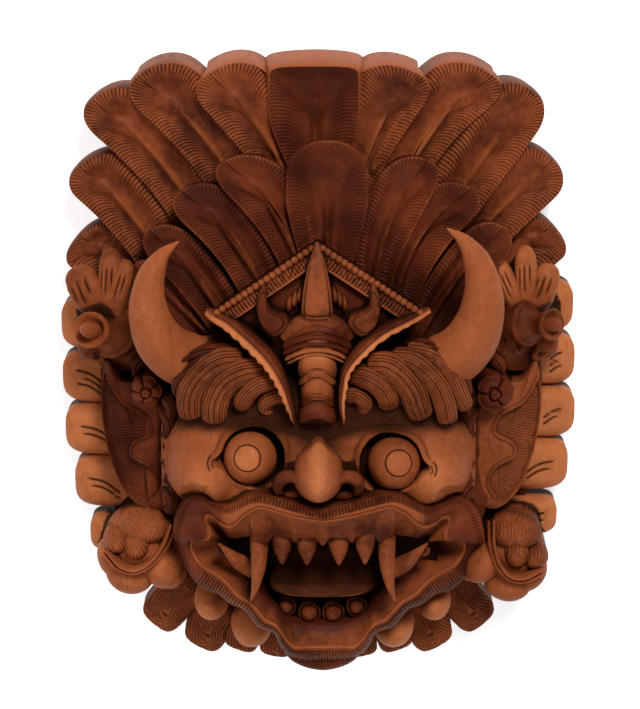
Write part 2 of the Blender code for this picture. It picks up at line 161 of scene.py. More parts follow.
def superellipse(halfWidth, top, bottom, powerTop, powerBottom, centre=(0, 0), count=200):
    # a squarish oval, its upper and lower halves shaped apart
    a = np.linspace(0, 2 * math.pi, count + 1)
    c, s = np.cos(a), np.sin(a)
    power = np.where(s >= 0, powerTop, powerBottom)
    y = np.where(s >= 0, top, bottom) * np.sign(s) * np.abs(s) ** (2 / power)
    x = halfWidth * np.sign(c) * np.abs(c) ** (2 / power)
    return np.column_stack([centre[0] + x, centre[1] + y])


def loop(points, count):
    # a smooth closed outline through the points, first place repeated at the end
    points = list(map(tuple, points))
    closed = curve(points[-2:] + points + points[:3], 60 * len(points))
    first = np.linalg.norm(closed - np.array(points[0]), axis=1)
    half = len(closed) // 2
    start, end = first[:half].argmin(), half + first[half:].argmin()
    return spread(np.vstack([closed[start:end], closed[start]]), count + 1)


hollowShape = {"halfWidth": 96, "top": 84, "bottom": 106, "centre": (0, -52), "rim": 20, "depth": 58,
               "wall": 3.5, "squareness": (2.6, 2.4), "bowl": 2.4}


def hollowHeight(x, y):
    # height of the hollow behind the face, and far below everything outside it
    s = hollowShape
    dx, dy = (x - s["centre"][0]) / s["halfWidth"], y - s["centre"][1]
    dy = np.where(dy > 0, dy / s["top"], -dy / s["bottom"])
    # nearly the shape of its rim and a little wider, so that the carving clears it
    ring = (np.abs(dx) ** 2.6 + np.abs(dy) ** 2.5) ** (1 / 2.55)
    inside = s["rim"] + (s["depth"] - s["rim"]) * (1 - np.clip(ring, 0, 1) ** s["bowl"])
    return np.where(ring < 1.03, inside, -1e3)


class Piece:
    # collects closed shells, then makes them one mesh object
    joinWithin = 0.008 * mm
    flatWithin = 0.004 * mm

    def __init__(self, name):
        self.name = name
        self.meshes = []

    def shell(self, grid, cutAndPaintedShade=0.0, wearAndPaintedLight=0.0, clear=True):
        grid = np.asarray(grid, float).copy()
        rows, columns = grid.shape[:2]
        if clear:
            # nothing reaches into the hollow or its wall
            floor = hollowHeight(grid[..., 0], grid[..., 1]) + hollowShape["wall"]
            grid[..., 2] = np.maximum(grid[..., 2], floor)
        cuts = np.broadcast_to(cutAndPaintedShade, (rows, columns)).ravel().tolist()
        wearAndPaintedLightValues = np.broadcast_to(wearAndPaintedLight, (rows, columns)).ravel().tolist()
        flat = (grid * mm).reshape(-1, 3).tolist()
        bm = bmesh.new()
        bmesh.ops.create_grid(bm, x_segments=rows - 1, y_segments=columns - 1, size=1)
        cutAndPaintedShadeLayer = bm.verts.layers.float.new("cutAndPaintedShade")
        wearAndPaintedLightLayer = bm.verts.layers.float.new("wearAndPaintedLight")
        for vert in bm.verts:
            k = round((vert.co.x + 1) / 2 * (rows - 1)) * columns
            k += round((vert.co.y + 1) / 2 * (columns - 1))
            vert.co = flat[k]
            vert[cutAndPaintedShadeLayer] = cuts[k]
            vert[wearAndPaintedLightLayer] = wearAndPaintedLightValues[k]
        bmesh.ops.remove_doubles(bm, verts=bm.verts, dist=self.joinWithin)
        bmesh.ops.dissolve_degenerate(bm, edges=bm.edges, dist=self.flatWithin)
        edges = [e for e in bm.edges if e.is_boundary]
        if edges:
            bmesh.ops.holes_fill(bm, edges=edges)
        bmesh.ops.recalc_face_normals(bm, faces=bm.faces)
        if bm.calc_volume(signed=True) < 0:
            bmesh.ops.reverse_faces(bm, faces=bm.faces)
        self.meshes.append(meshFrom(bm, self.name))

    def field(self, outline, foot, height, rings=24, centre=None, wearAndPaintedLight=0.0, edge=1.0):
        # a carved surface over an outline, with straight sides down to the foot; height gives
        # the top and, where it has them, how deeply each place is darkened, by its cuts and by painted
        # shade, and how light it is, from wear and painted highlights
        line = np.asarray(outline)[:, :2]
        middle = line[:-1].mean(axis=0) if centre is None else np.array(centre, float)
        ring = 1 - np.linspace(0, 1, rings + 1) ** (1 / edge)
        flat = middle + (line - middle)[None] * ring[:, None, None]
        x, y = flat[..., 0], flat[..., 1]
        top = height(x, y, np.broadcast_to(ring[:, None], x.shape))
        top, depth, *tone = top if isinstance(top, tuple) else (top, 0)
        top, depth = np.broadcast_to(top, x.shape), np.broadcast_to(depth, x.shape)
        if tone:
            wearAndPaintedLight = np.vstack([np.full((4, x.shape[1]), float(wearAndPaintedLight)), tone[0]])
        walls = [np.dstack([flat[:1], foot + (top[:1] - foot) * s]) for s in (0, 0.4, 0.8)]
        ends = np.dstack([np.broadcast_to(middle, flat[:1].shape), np.full(x[:1].shape, foot)])
        grid = np.vstack([ends] + walls + [np.dstack([flat, top])])
        cuts = np.vstack([np.zeros((4, x.shape[1])), depth])
        self.shell(grid, cuts, wearAndPaintedLight)

    def roll(self, points, widths, depths, count=40, sides=20, relief=None, wearAndPaintedLight=0.0, square=2.0,
             ends=0.0):
        # a tapering roll along a line: widths lie across it, depths stand up from it
        line = curve(points, count)
        t = np.linspace(0, 1, count)
        width, depth = along(widths, t)[:, None], along(depths, t)[:, None]
        if ends:
            close = np.clip(np.minimum(t, 1 - t) / ends, 0, 1)[:, None]
            close = np.sqrt(1 - (1 - close) ** 2)
            width, depth = width * close, depth * close
        run = np.gradient(line, axis=0)
        run /= np.linalg.norm(run, axis=1)[:, None]
        across = np.cross(run, [0, 0, 1.0])
        across /= np.linalg.norm(across, axis=1)[:, None] + 1e-9
        rise = np.cross(across, run)
        a = np.linspace(0, 2 * math.pi, sides + 1)[None]
        c = np.sign(np.cos(a)) * np.abs(np.cos(a)) ** (2 / square)
        s = np.sign(np.sin(a)) * np.abs(np.sin(a)) ** (2 / square)
        out, cutAndPaintedShade = (relief(t[:, None], a) if relief else (0.0, 0.0))
        grid = (line[:, None] + across[:, None] * ((width + out) * c)[..., None]
                + rise[:, None] * ((depth + out) * s)[..., None])
        self.shell(grid, cutAndPaintedShade * np.ones(grid.shape[:2]), wearAndPaintedLight)

    def egg(self, centre, radii, sides=28, rings=16, tilt=0.0, wearAndPaintedLight=0.0):
        a = np.linspace(0, 2 * math.pi, sides + 1)[:, None]
        d = np.linspace(0, math.pi, rings + 1)[None]
        ball = np.stack([np.cos(a) * np.sin(d), np.sin(a) * np.sin(d), np.cos(d) + 0 * a], -1)
        ball = ball * np.array(radii)
        c, s = math.cos(tilt), math.sin(tilt)
        ball = np.stack([ball[..., 0] * c - ball[..., 1] * s, ball[..., 0] * s + ball[..., 1] * c,
                         ball[..., 2]], -1)
        self.shell(np.array(centre) + ball, wearAndPaintedLight=wearAndPaintedLight)

    def turned(self, foot, tip, radii, sides=48, cutAndPaintedShade=0.0, wearAndPaintedLight=0.0):
        # radii holds a row of (share of the way, radius)
        foot, tip = np.array(foot, float), np.array(tip, float)
        run = (tip - foot) / np.linalg.norm(tip - foot)
        across = np.cross(run, [0, 1.0, 0])
        across /= np.linalg.norm(across)
        rise = np.cross(run, across)
        a = np.linspace(0, 2 * math.pi, sides + 1)[None, :, None]
        share, radius = np.asarray(radii, float).T
        grid = (foot + (tip - foot) * share[:, None, None]
                + radius[:, None, None] * (across * np.cos(a) + rise * np.sin(a)))
        self.shell(grid, cutAndPaintedShade, wearAndPaintedLight)

    def finish(self, material, angle=60):
        bm = bmesh.new()
        for mesh in self.meshes:
            bm.from_mesh(mesh)
        whole = meshFrom(bm, self.name)
        for mesh in self.meshes:
            bpy.data.meshes.remove(mesh)
        whole.shade_smooth()
        whole.set_sharp_from_angle(angle=math.radians(angle))
        whole.materials.append(material)
        made = objectFrom(whole, self.name)
        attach(made, "root")
        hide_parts("mask")
        whole.calc_loop_triangles()
        print(self.name, len(whole.loop_triangles), "triangles")
        pieces.append(made)


class Wire:
    # a socket that takes part in sums

    def __init__(self, graph, socket):
        self.graph = graph
        self.socket = socket

    def __add__(self, other):
        return self.graph.maths("ADD", self, other)

    def __sub__(self, other):
        return self.graph.maths("SUBTRACT", self, other)

    def __rsub__(self, other):
        return self.graph.maths("SUBTRACT", other, self)

    def __mul__(self, other):
        return self.graph.maths("MULTIPLY", self, other)

    __radd__ = __add__
    __rmul__ = __mul__


class Graph:
    def __init__(self, name):
        self.material = bpy.data.materials.new(name)
        self.material.use_nodes = True
        self.tree = self.material.node_tree
        self.shader = self.tree.nodes["Principled BSDF"]

    def put(self, socket, value):
        if isinstance(value, Wire):
            self.tree.links.new(value.socket, socket)
        else:
            socket.default_value = value

    def node(self, kind, settings=None, out=0, **sockets):
        made = self.tree.nodes.new(kind)
        for key, value in (settings or {}).items():
            setattr(made, key, value)
        for key, value in sockets.items():
            number = key.startswith("at")
            self.put(made.inputs[int(key[2:]) if number else key.replace("_", " ")], value)
        return Wire(self, made.outputs[out])

    def maths(self, operation, first, second):
        return self.node("ShaderNodeMath", {"operation": operation}, at0=first, at1=second)

    def mix(self, share, first, second):
        return self.node("ShaderNodeMix", {"data_type": "RGBA"}, 2, at0=share, at6=first, at7=second)

    def step(self, value, low, high):
        return self.node("ShaderNodeMapRange", {"interpolation_type": "SMOOTHSTEP"}, at0=value,
                         From_Min=low, From_Max=high)


woodLook = {
    "deep": (0.008, 0.0022, 0.0011, 1),
    "dark": (0.055, 0.010, 0.004, 1),
    "mid": (0.150, 0.029, 0.009, 1),
    "light": (0.30, 0.077, 0.024, 1),
    "wearAndPaintedLight": (0.52, 0.165, 0.057, 1),
    # scale, detail and roughness of each noise
    "grain": (420.0, 5.0, 0.6),
    "cloud": (26.0, 3.0, 0.55),
    "fleck": (190.0, 2.0, 0.6),
    "grainStretch": (1, 0.09, 0.6),
    "polish": 0.05,
    "sheen": {"Specular IOR Level": 0.05, "Coat Roughness": 0.42},
    "bump": {"Strength": 0.12, "Distance": 0.0004},
}


def woodMaterial():
    g = Graph("stainedWood")
    place = g.node("ShaderNodeTexCoord", out="Object")
    cutAndPaintedShade, wearAndPaintedLight, recess = (g.node("ShaderNodeAttribute", {"attribute_name": name}, "Fac")
                         for name in ("cutAndPaintedShade", "wearAndPaintedLight", "recess"))
    stretched = g.node("ShaderNodeMapping", Vector=place, Scale=woodLook["grainStretch"])
    grain, cloud, fleck = (
        g.node("ShaderNodeTexNoise", Vector=at, Scale=scale, Detail=detail, Roughness=rough)
        for at, (scale, detail, rough) in ((stretched, woodLook["grain"]), (place, woodLook["cloud"]),
                                           (place, woodLook["fleck"])))
    # the worn attribute holds rubbed wear together with painted highlights and painted shade
    high = wearAndPaintedLight + (cloud - 0.5) * 0.6 + (fleck - 0.5) * 0.5
    colour = g.mix(g.step(cloud, 0.3, 0.7), woodLook["dark"], woodLook["mid"])
    colour = g.mix(g.step(high, 0.05, 0.75), colour, woodLook["light"])
    colour = g.mix(g.step(high, 0.7, 1.5), colour, woodLook["wearAndPaintedLight"])
    colour = g.mix(g.step(grain, 0.52, 0.75) * 0.3, colour, woodLook["dark"])
    # painted shade and stain in the hollows, from the recess attribute
    colour = g.mix(g.step(recess, 0.0, 0.9) * 0.92, colour, woodLook["deep"])
    # the cut attribute darkens carved grooves with stain, and also carries painted shade
    colour = g.mix(g.step(cutAndPaintedShade, 0.1, 1.0) * 0.9, colour, woodLook["deep"])
    g.put(g.shader.inputs["Base Color"], colour)
    g.put(g.shader.inputs["Roughness"], 0.48 + grain * 0.12 + cutAndPaintedShade * 0.25)
    g.put(g.shader.inputs["Coat Weight"], (1 - g.maths("MAXIMUM", cutAndPaintedShade, recess)) * woodLook["polish"])
    g.put(g.shader.inputs["Normal"], g.node("ShaderNodeBump", Height=grain, **woodLook["bump"]))
    for socket, value in woodLook["sheen"].items():
        g.put(g.shader.inputs[socket], value)
    return g.material


wood = woodMaterial()
print("wood mixed")

# vane sets how light each fan's vanes are painted; middleVane paints the middle feather darker, as painted
# shade
outerFan = {
    "centre": (-2, 20), "halfWidth": 164, "reach": 189, "squareness": 8, "middleRise": 5,
    "root": 100, "rootSpread": 0.42, "rootHeight": 54, "tipHeight": 58, "tipFall": 0.0045,
    "foot": 6, "setBack": 0, "flare": 0.9, "blunt": 0.78, "vane": 0.2, "middleVane": -0.2, "rim": False,
}
innerFan = {
    "centre": (6, 20), "halfWidth": 142, "reach": 147, "squareness": 2.2, "middleRise": -1,
    "root": 30, "rootSpread": 0.35, "rootHeight": 74, "tipHeight": 79, "tipFall": 0.0038,
    "foot": 12, "setBack": -5, "flare": 0.85, "blunt": 0.76, "vane": -0.15, "middleVane": -0.25,
    "rim": True,
}
barbs = {"pitch": 2.55, "strokePitch": 2.95, "depth": 0.75, "strokeDepth": 1.05, "rows": 13,
         "over": 0.15, "rootFall": 0.15, "cutTone": 0.6, "middleShade": 0.32, "endRows": 6,
         # half width of the midrib, the shares of the feather over which it fades, and how far
         # out along a barb it holds before it sinks
         "rib": 3.0, "ribFade": (0.42, 0.68), "ribHold": (6, 12),
         # near the tip the barbs straighten, fan out and no longer lap over the next feather
         "straighten": (0.72, 0.98), "spread": (0.8, 1.0), "lapEnd": (0.72, 0.92), "lap": 0.8,
         "border": (0.93, 0.97)}

# side, tip angle and root angle from the middle, bow, outer and inner half widths
outerFeathers = [
    (-1, 21, 9, 8, 21, 27), (-1, 33, 27, 8, 19, 27), (-1, 42, 43, 7, 19, 25),
    (-1, 53, 61, 5, 19, 24), (-1, 66, 75, 4, 23, 20),
    (1, 20, 15, 7, 18, 30), (1, 33, 29, 12, 18, 28), (1, 40, 46, 1, 20, 25),
    (1, 52, 58, 2, 21, 24), (1, 64, 73, 4, 24, 20),
]
innerFeathers = [
    (-1, 28, 24, 14, 18, 22), (-1, 42, 56, 10, 18, 20), (-1, 56, 90, 6, 15, 17),
    (-1, 67, 102, 2, 11, 14),
    (1, 27, 44, 8, 17, 21), (1, 41, 62, 11, 18, 20), (1, 55, 90, 4, 17, 17),
]


def fanTip(fan, angle):
    across = abs(math.sin(angle)) / fan["halfWidth"]
    up = abs(math.cos(angle)) / fan["reach"]
    return (across ** fan["squareness"] + up ** fan["squareness"]) ** (-1 / fan["squareness"])


def endFace(back):
    # how far out the end of a feather stands at each share of its height, down to its foot
    if back < 0:
        return (0.45, 0.985), (0.36, 0.93), (0.3 * back, 0.72), (0.7 * back, 0.35), (back, 0)
    return ((0.45, 0.985), (max(1.2, 0.35 * back), 0.93), (max(2, 0.7 * back), 0.72),
            (max(1.5, 0.95 * back), 0.35), (back, 0))


def featherVane(axis, half, sign, levels, fan, style):
    # one half of a feather, from the midrib out over the edge and down to the foot
    base, tip, bow, outward = axis
    low, high = levels
    foot, blunt, corner = fan["foot"], style["blunt"], style["corner"]
    share = 1 - (1 - np.linspace(0, 1, 200)) ** 1.6
    closing = np.clip((share - blunt) / (1 - blunt), 0, 1)
    width = half * (style["flare"] + (1 - style["flare"]) * smooth(share, 0, 0.7))
    width = width * np.clip(1 - closing ** corner, 0, 1) ** (1 / corner)

    def midrib(s):
        s = np.asarray(s, float)
        return base + np.outer(s, tip - base) - np.outer(bow * 4 * s * (1 - s), outward)

    edgeFine = midrib(share) + sign * outward * width[:, None]
    count = round(lengthOf(edgeFine) / style["pitch"]) * 3 + 1
    edge = spread(np.column_stack([edgeFine, share]), count)
    at = edge[:, 2]
    # each barb leaves the rib some way back, runs on beside it and turns out to the edge
    reach = at - style["lag"] * smooth(at, 0, 0.55)
    rib = midrib(reach)
    run = midrib(reach + 1e-3) - midrib(reach - 1e-3)
    run /= np.linalg.norm(run, axis=1)[:, None]
    gap = edge[:, :2] - rib
    ahead = (gap * run).sum(axis=1)
    aside = gap - run * ahead[:, None]
    span = np.linalg.norm(aside, axis=1)
    arched = rib + run * (ahead + barbs["over"] * span)[:, None] + aside * 0.3
    bend = rib + gap * 0.5
    bend = bend + (arched - bend) * (1 - 0.75 * smooth(at, *barbs["straighten"]))[:, None]
    b = np.r_[0, 0.05, 0.1, 0.16, 0.22, np.linspace(0.28, 1, barbs["rows"])]
    bb = b[None, :, None]
    flat = (rib[:, None] * (1 - bb) ** 2 + 2 * bend[:, None] * bb * (1 - bb)
            + edge[:, None, :2] * bb ** 2)
    step = flat - rib[:, None]
    forward = (step * run[:, None]).sum(axis=2)
    beside = np.linalg.norm(step - run[:, None] * forward[..., None], axis=2)
    tipward = smooth(at, *barbs["spread"])[:, None]
    out = np.clip(beside / (span[:, None] + 1e-6), 0, 1) * (1 - tipward) + b[None] * tipward
    plane = low + (high - low) * (reach[:, None] + forward / np.linalg.norm(tip - base))
    fade = 1 - 0.8 * smooth(reach, *barbs["ribFade"])[:, None]
    hollow = np.interp(out, style["profileAt"], style["profile"])
    z = plane + hollow * (0.45 + 0.55 * fade)
    held, sinks = barbs["ribHold"]
    crest = hump(beside, 0, barbs["rib"]) * hump(np.maximum(forward - held, 0), 0, sinks)
    z = z + style["ridge"] * fade * crest
    # a feather's outer half lies over its neighbour, its inner half slips under
    lift = (barbs["lap"] if sign > 0 else -style["under"]) * (1 - smooth(at, *barbs["lapEnd"]))[:, None]
    z = z + lift * smooth(out, style["underFrom"], 1)
    groove = everyThird(count)[:, None]
    start = style["cutFrom"] + 0.22 * smooth(at, 0.7, 0.95)[:, None]
    inside = smooth(b[None] - start, -0.06, 0.3)
    wearAndPaintedLight = 0.5 * fade * crest + style["vane"] + 0.3 * inside * (1 - groove) * smooth(b, 0.3, 0.8)[None]
    if fan["rim"]:
        # a plain raised border
        border = smooth(b, *barbs["border"])[None]
        inside = inside * (1 - border)
        z = z + 0.4 * border
        wearAndPaintedLight = wearAndPaintedLight + 0.3 * smooth(b, 0.93, 0.98)[None]
    cutAndPaintedShade = groove * inside
    z = z - style["depth"] * cutAndPaintedShade
    away = gap / np.linalg.norm(gap, axis=1)[:, None]
    rimHeight = z[:, -1] if fan["rim"] else plane[:, -1] + style["profile"][-1]
    skins = [raised(edge[:, :2] + away * shift, foot + (rimHeight - foot) * up)
             for shift, up in endFace(style["setBack"])]
    skins.append(raised(rib, foot))
    grid = np.concatenate([np.dstack([flat, z]), np.stack(skins, axis=1)], axis=1)
    ends = (count, barbs["endRows"])
    cutAndPaintedShade = np.concatenate([cutAndPaintedShade * barbs["cutTone"], np.zeros(ends)], axis=1)
    wearAndPaintedLight = np.concatenate([wearAndPaintedLight, np.full(ends, style["tone"])], axis=1)
    return grid, cutAndPaintedShade, wearAndPaintedLight


# how each kind of vane is cut: its profile runs from the midrib out to the edge
barbedVane = {"pitch": barbs["pitch"], "depth": barbs["depth"], "cutFrom": 0.24, "ridge": 3.0,
              "lag": 0.28, "profileAt": [0, 0.12, 0.3, 0.55, 0.8, 0.93, 1],
              "profile": [-1.5, -4.0, -5.0, -4.6, -2.4, -0.6, 0]}
middleVane = {**barbedVane, "profile": [-4, -7, -6.5, -4.5, -2.0, -0.5, 0], "ridge": 3.6}
rolledVane = {"pitch": barbs["strokePitch"], "depth": barbs["strokeDepth"], "cutFrom": 0.4,
              "ridge": 3.0, "lag": 0.24, "profileAt": [0, 0.12, 0.28, 0.45, 0.62, 0.8, 0.92, 1],
              "profile": [-1.5, -4.6, -5.6, -3.2, -0.4, 0.8, -0.2, -2.0]}


def feather(piece, fan, side, tipAngle, rootAngle, bow, outer, inner, middle=False):
    turn, rootTurn = math.radians(tipAngle), math.radians(rootAngle)
    centre = np.array(fan["centre"], float)
    reach = fanTip(fan, turn) + (fan["middleRise"] if middle else 0)
    tip = centre + reach * np.array([side * math.sin(turn), math.cos(turn)])
    root = fan["root"] + fan["rootSpread"] * rootAngle
    base = centre + root * np.array([side * math.sin(rootTurn), math.cos(rootTurn)])
    levels = (fan["rootHeight"] - barbs["rootFall"] * tipAngle,
              fan["tipHeight"] - fan["tipFall"] * tipAngle ** 2)
    run = (tip - base) / np.linalg.norm(tip - base)
    outward = np.array([run[1], -run[0]]) * side
    wide = middle and not fan["rim"]  # the broad square feather in the middle
    beside = tipAngle < 24 and not fan["rim"]
    # the end faces near the middle slope back more, most of all on their inner halves
    slanted = 0 if fan["rim"] else 1 - smooth(tipAngle, 24, 46)
    shape = {
        "corner": 4.5 if wide else 2.3,
        "blunt": fan["blunt"] + (0.13 if wide else 0),
        "flare": 0.45 if middle else (0.66 if tipAngle < 30 else fan["flare"]),
        # end faces that face up are painted lighter, a painted highlight from the light above; the inner
        # row's stay dark
        "tone": 0.1 if fan["rim"] else 0.75 - 0.6 * smooth(tipAngle, 22, 48),
        "vane": fan["middleVane"] if middle else fan["vane"],
        "setBack": fan["setBack"] + (6 * slanted if middle else 0),
        "under": -0.8 if middle else (8 if beside else 2.6),
        "underFrom": 0.3 if beside else 0.55,
    }
    outerHalf = {**(middleVane if middle else barbedVane), **shape}
    innerHalf = {**(middleVane if middle else rolledVane), **shape}
    if not middle:
        innerHalf["setBack"] += 4 * slanted
    axis = (base, tip, bow, outward)
    g1, c1, w1 = featherVane(axis, outer, 1, levels, fan, outerHalf)
    g2, c2, w2 = featherVane(axis, inner, -1, levels, fan, innerHalf)
    if middle:
        # the middle feathers' vanes are painted darker: painted shade
        for cutAndPaintedShade in (c1[:, :-barbs["endRows"]], c2[:, :-barbs["endRows"]]):
            np.maximum(cutAndPaintedShade, barbs["middleShade"], out=cutAndPaintedShade)
    piece.shell(np.concatenate([g1, g2[::-1]]), np.concatenate([c1, c2[::-1]]),
                np.concatenate([w1, w2[::-1]]))


def makeCrown(name, fan, middleWidths, feathers):
    piece = Piece(name)
    feather(piece, fan, 1, 0, 0, 0, *middleWidths, middle=True)
    for row in feathers:
        feather(piece, fan, *row)
    piece.finish(wood)


makeCrown("outer_crown", outerFan, (29, 31), outerFeathers)
makeCrown("inner_crown", innerFan, (28, 28), innerFeathers)
print("crown carved")


def gouges(x, y, wide, long):
    # rows of shallow scoops set like bricks, 0 at their edges and 1 in the middle
    row = y / long
    u = 2 * ((x / wide + 0.5 * np.floor(row)) % 1) - 1
    v = 2 * (row % 1) - 1
    return (1 - u ** 2) * (1 - v ** 4)


backShape = {"halfWidth": 156, "halfHeight": 198, "plateTop": 24, "hollowScoop": 0.9, "flatScoop": 0.4,
             "steps": ((140, 150, 140, 2.6, 2.4, -30, 38), (126, 92, 122, 3, 2.4, -60, 62))}


def makeBack():
    piece = Piece("back")
    b, h = backShape, hollowShape
    count = 200
    outline = superellipse(b["halfWidth"], b["halfHeight"], b["halfHeight"], 4, 3.2, count=count)
    rim = superellipse(h["halfWidth"], h["top"], h["bottom"], *h["squareness"], h["centre"], count)
    middle = np.array(h["centre"], float)
    rows = []
    for s in np.linspace(0, 1, 36):
        flat = middle + (rim - middle) * s
        z = h["rim"] + (h["depth"] - h["rim"]) * (1 - s ** h["bowl"])
        scoop = gouges(flat[:, 0], flat[:, 1], 9, 21) * (1 - s ** 12)
        rows.append(raised(flat, z + b["hollowScoop"] * scoop))
    for s in np.linspace(0, 1, 24):
        flat = rim + (outline - rim) * s
        scoop = gouges(flat[:, 0], flat[:, 1], 12, 30) * smooth(s, 0, 0.1) * smooth(1 - s, 0, 0.1)
        rows.append(raised(flat, b["flatScoop"] * scoop + 2 * smooth(s, 0.97, 1)))
    for z in (8, b["plateTop"] - 2, b["plateTop"]):
        rows.append(raised(outline, z))
    last = b["plateTop"]
    for halfWidth, top, bottom, powerTop, powerBottom, y, z in b["steps"]:
        line = superellipse(halfWidth, top, bottom, powerTop, powerBottom, (0, y), count)
        rows.append(raised(line, last))
        rows.append(raised(middle + (line - middle) * 0.97, z))
        last = z
    rows.append(raised(middle + 0 * line, last))
    piece.shell(np.array(rows), clear=False)
    piece.finish(wood)


makeBack()
print("back hollowed")

mouth = {"axis": 3, "rightStretch": 1.09, "rightDrop": 8, "front": 143, "floor": 88, "ribPitch": 2.2,
         "ribDepth": 0.9, "floorShape": (82, 42, 52, 2.6, 2.4), "floorAt": -125,
         # how far the outer edge drops behind the rim, and how much more below; how long the
         # upper ribs are, where the lower ones end, and how far the gum comes down in its points
         "edgeDrop": (8, 6), "upperRib": 4.4, "ribEnd": 0.86, "gumPoint": 6,
         "chin": [(-27, -186, 78), (-14, -198, 84), (3, -202, 85), (20, -198, 84), (33, -186, 78)]}
toothAt = (-25, -8, 14, 32)

# half of the band from the top round to the bottom, as distances from the mouth's axis:
# its outer edge, its raised rim and the edge of the opening
halfLips = [
    ((0, -77), (0, -83), (0, -97)), ((18, -73), (20, -80), (18, -98)),
    ((38, -69), (40, -76), (38, -98)), ((48, -70), (48, -79), (46, -100)),
    ((55, -74), (54, -84), (50, -102)), ((62, -79), (60, -91), (56, -104)),
    ((68, -81), (65, -94), (60, -106)), ((75, -80), (71, -93), (63, -107)),
    ((82, -77), (75, -90), (65, -108)), ((88, -77), (79, -90), (66, -109)),
    ((94, -81), (81, -93), (67, -110)), ((99, -88), (79, -97), (67, -111)),
    ((102, -96), (78, -102), (67, -112)), ((104, -104), (80, -107), (67, -114)),
    ((104, -110), (85, -109), (68, -116)), ((102, -116), (91, -111), (68, -118)),
    ((100, -124), (92, -118), (68, -121)), ((97, -134), (89, -125), (66, -125)),
    ((92, -143), (84, -130), (64, -128)), ((84, -149), (76, -133), (61, -132)),
    ((74, -152), (68, -138), (57, -136)), ((65, -159), (60, -147), (52, -142)),
    ((56, -162), (51, -152), (46, -147)), ((51, -168), (45, -159), (41, -152)),
    ((46, -175), (40, -165), (37, -157)), ((39, -177), (33, -168), (32, -161)),
    ((34, -180), (29, -174), (28, -165)), ((31, -188), (25, -181), (24, -169)),
    ((25, -196), (19, -186), (19, -172)), ((13, -200), (10, -185), (10, -173)),
    ((0, -200), (0, -185), (0, -173)),
]


def bothSides(half):
    # a closed line round the mouth: the right side is wider and hangs lower
    x, y = np.array(half, float).T
    left = np.column_stack([mouth["axis"] - x, y])
    right = np.column_stack([mouth["axis"] + mouth["rightStretch"] * x,
                             y - mouth["rightDrop"] * (x / 100) ** 2])
    return np.vstack([left, right[-2::-1]])


def muzzleHeight(x, y):
    return mouth["front"] - 0.0058 * x * x - 0.42 * np.maximum(0, -110 - y)


lipLines = [bothSides([row[k] for row in halfLips]) for k in range(3)]

leftEye = (-47, -49, 104)
rightEye = (52, -53, 104)
faceShape = {"middle": (1, -52), "halfWidth": 108, "halfHeight": 62, "edge": 62, "top": 113,
             "cheek": (78, -60), "cheekSize": (29, 31), "cheekTop": 119, "socket": 19.6,
             "socketFloor": 92, "eyeRadius": 18.3, "iris": 31, "foot": 56,
             # how far the socket reaches past its round at the outer corner, the inner side and
             # the top, the lid's height and how much more it has above, its fold, and the creases
             "reaches": (5.5, 2.6, 1.0), "lid": (1.2, 1.8), "lidAt": 2.2, "fold": 1.1, "foldAt": 5.2,
             "creases": (4, 7), "creaseAt": (23, -2), "creaseDepth": 0.9,
             # where each eye looks and how light it is painted
             "gaze": ((leftEye, (-0.10, 0.23, 0.97), 1.0), (rightEye, (0.17, 0.26, 0.95), 0.75))}


def eyeLocal(x, y, eye):
    # places measured outwards and up from the middle of an eye's socket
    side = math.copysign(1, eye[0])
    return (x - eye[0]) * side + 1.2, y - eye[1] - 1


def aroundEye(x, y, z, cutAndPaintedShade, eye):
    # sinks an eye's socket into the face, with its lid, fold and creases
    f = faceShape
    u, v = eyeLocal(x, y, eye)
    far, turn = np.hypot(u, v), np.arctan2(v, u)
    corner, inner, above = f["reaches"]
    edge = f["socket"] + corner * np.clip(np.cos(turn + 0.06), 0, 1) ** 60
    edge = edge + inner * smooth(-np.cos(turn), -0.3, 0.7) + above * np.clip(np.sin(turn), 0, 1)
    upper = smooth(np.sin(turn), -0.35, 0.35)
    lid = (f["lid"][0] + f["lid"][1] * upper) * hump(far, edge + f["lidAt"], 1.3)
    fold = f["fold"] * hump(far, edge + f["foldAt"], 1.0)
    wall = smooth(far, edge - 0.7, edge + 0.7)
    z = (z + lid - fold * upper) * wall + (1 - wall) * f["socketFloor"]
    cutAndPaintedShade = np.maximum(cutAndPaintedShade, hump(far, edge + f["foldAt"] - 0.2, 0.9) * upper * 0.7)
    bend = np.radians(np.linspace(-50, 55, 12))
    out, up = f["creaseAt"]
    lines = [np.column_stack([out + r * np.cos(bend), up + r * np.sin(bend)]) for r in f["creases"]]
    depth = carve(u, v, lines, 0.7)
    return z - f["creaseDepth"] * depth, np.maximum(cutAndPaintedShade, depth)


def faceHeight(x, y):
    f = faceShape
    base = dome(x, y, f["middle"], (f["halfWidth"], f["halfHeight"]), f["edge"], f["top"], 0.22)
    cheeks = [dome(x, y, (side * f["cheek"][0], f["cheek"][1]), f["cheekSize"], 80, f["cheekTop"], 0.6)
              for side in (-1, 1)]
    z = melt(base, *cheeks, soft=2.5)
    cutAndPaintedShade = np.zeros_like(z)
    for eye in (leftEye, rightEye):
        z, cutAndPaintedShade = aroundEye(x, y, z, cutAndPaintedShade, eye)
    # the face meets the outer edge of the lips and dips under them
    edge = spread(lipLines[0], 240)
    far, share, side = nearLine(x, y, edge)
    beside = edge[np.clip((share * 239).astype(int), 0, 239)]
    lipTop = muzzleHeight(beside[..., 0], beside[..., 1]) - 8
    outside = far * -side
    z = np.minimum(z, lipTop - 2 + 18 * smooth(outside, -2, 10) + 30 * smooth(outside, 8, 26))
    # painted shade under the brows and beside the nose, where the eyes and the bridge lie in shadow
    shade = 0.95 * smooth(y, -38, -24) + 0.9 * hump(x, 0, 20) * smooth(y, -54, -38)
    return z - 5 * hump(x, 0, 14) * smooth(y, -50, -30), np.clip(np.maximum(cutAndPaintedShade, shade), 0, 1)


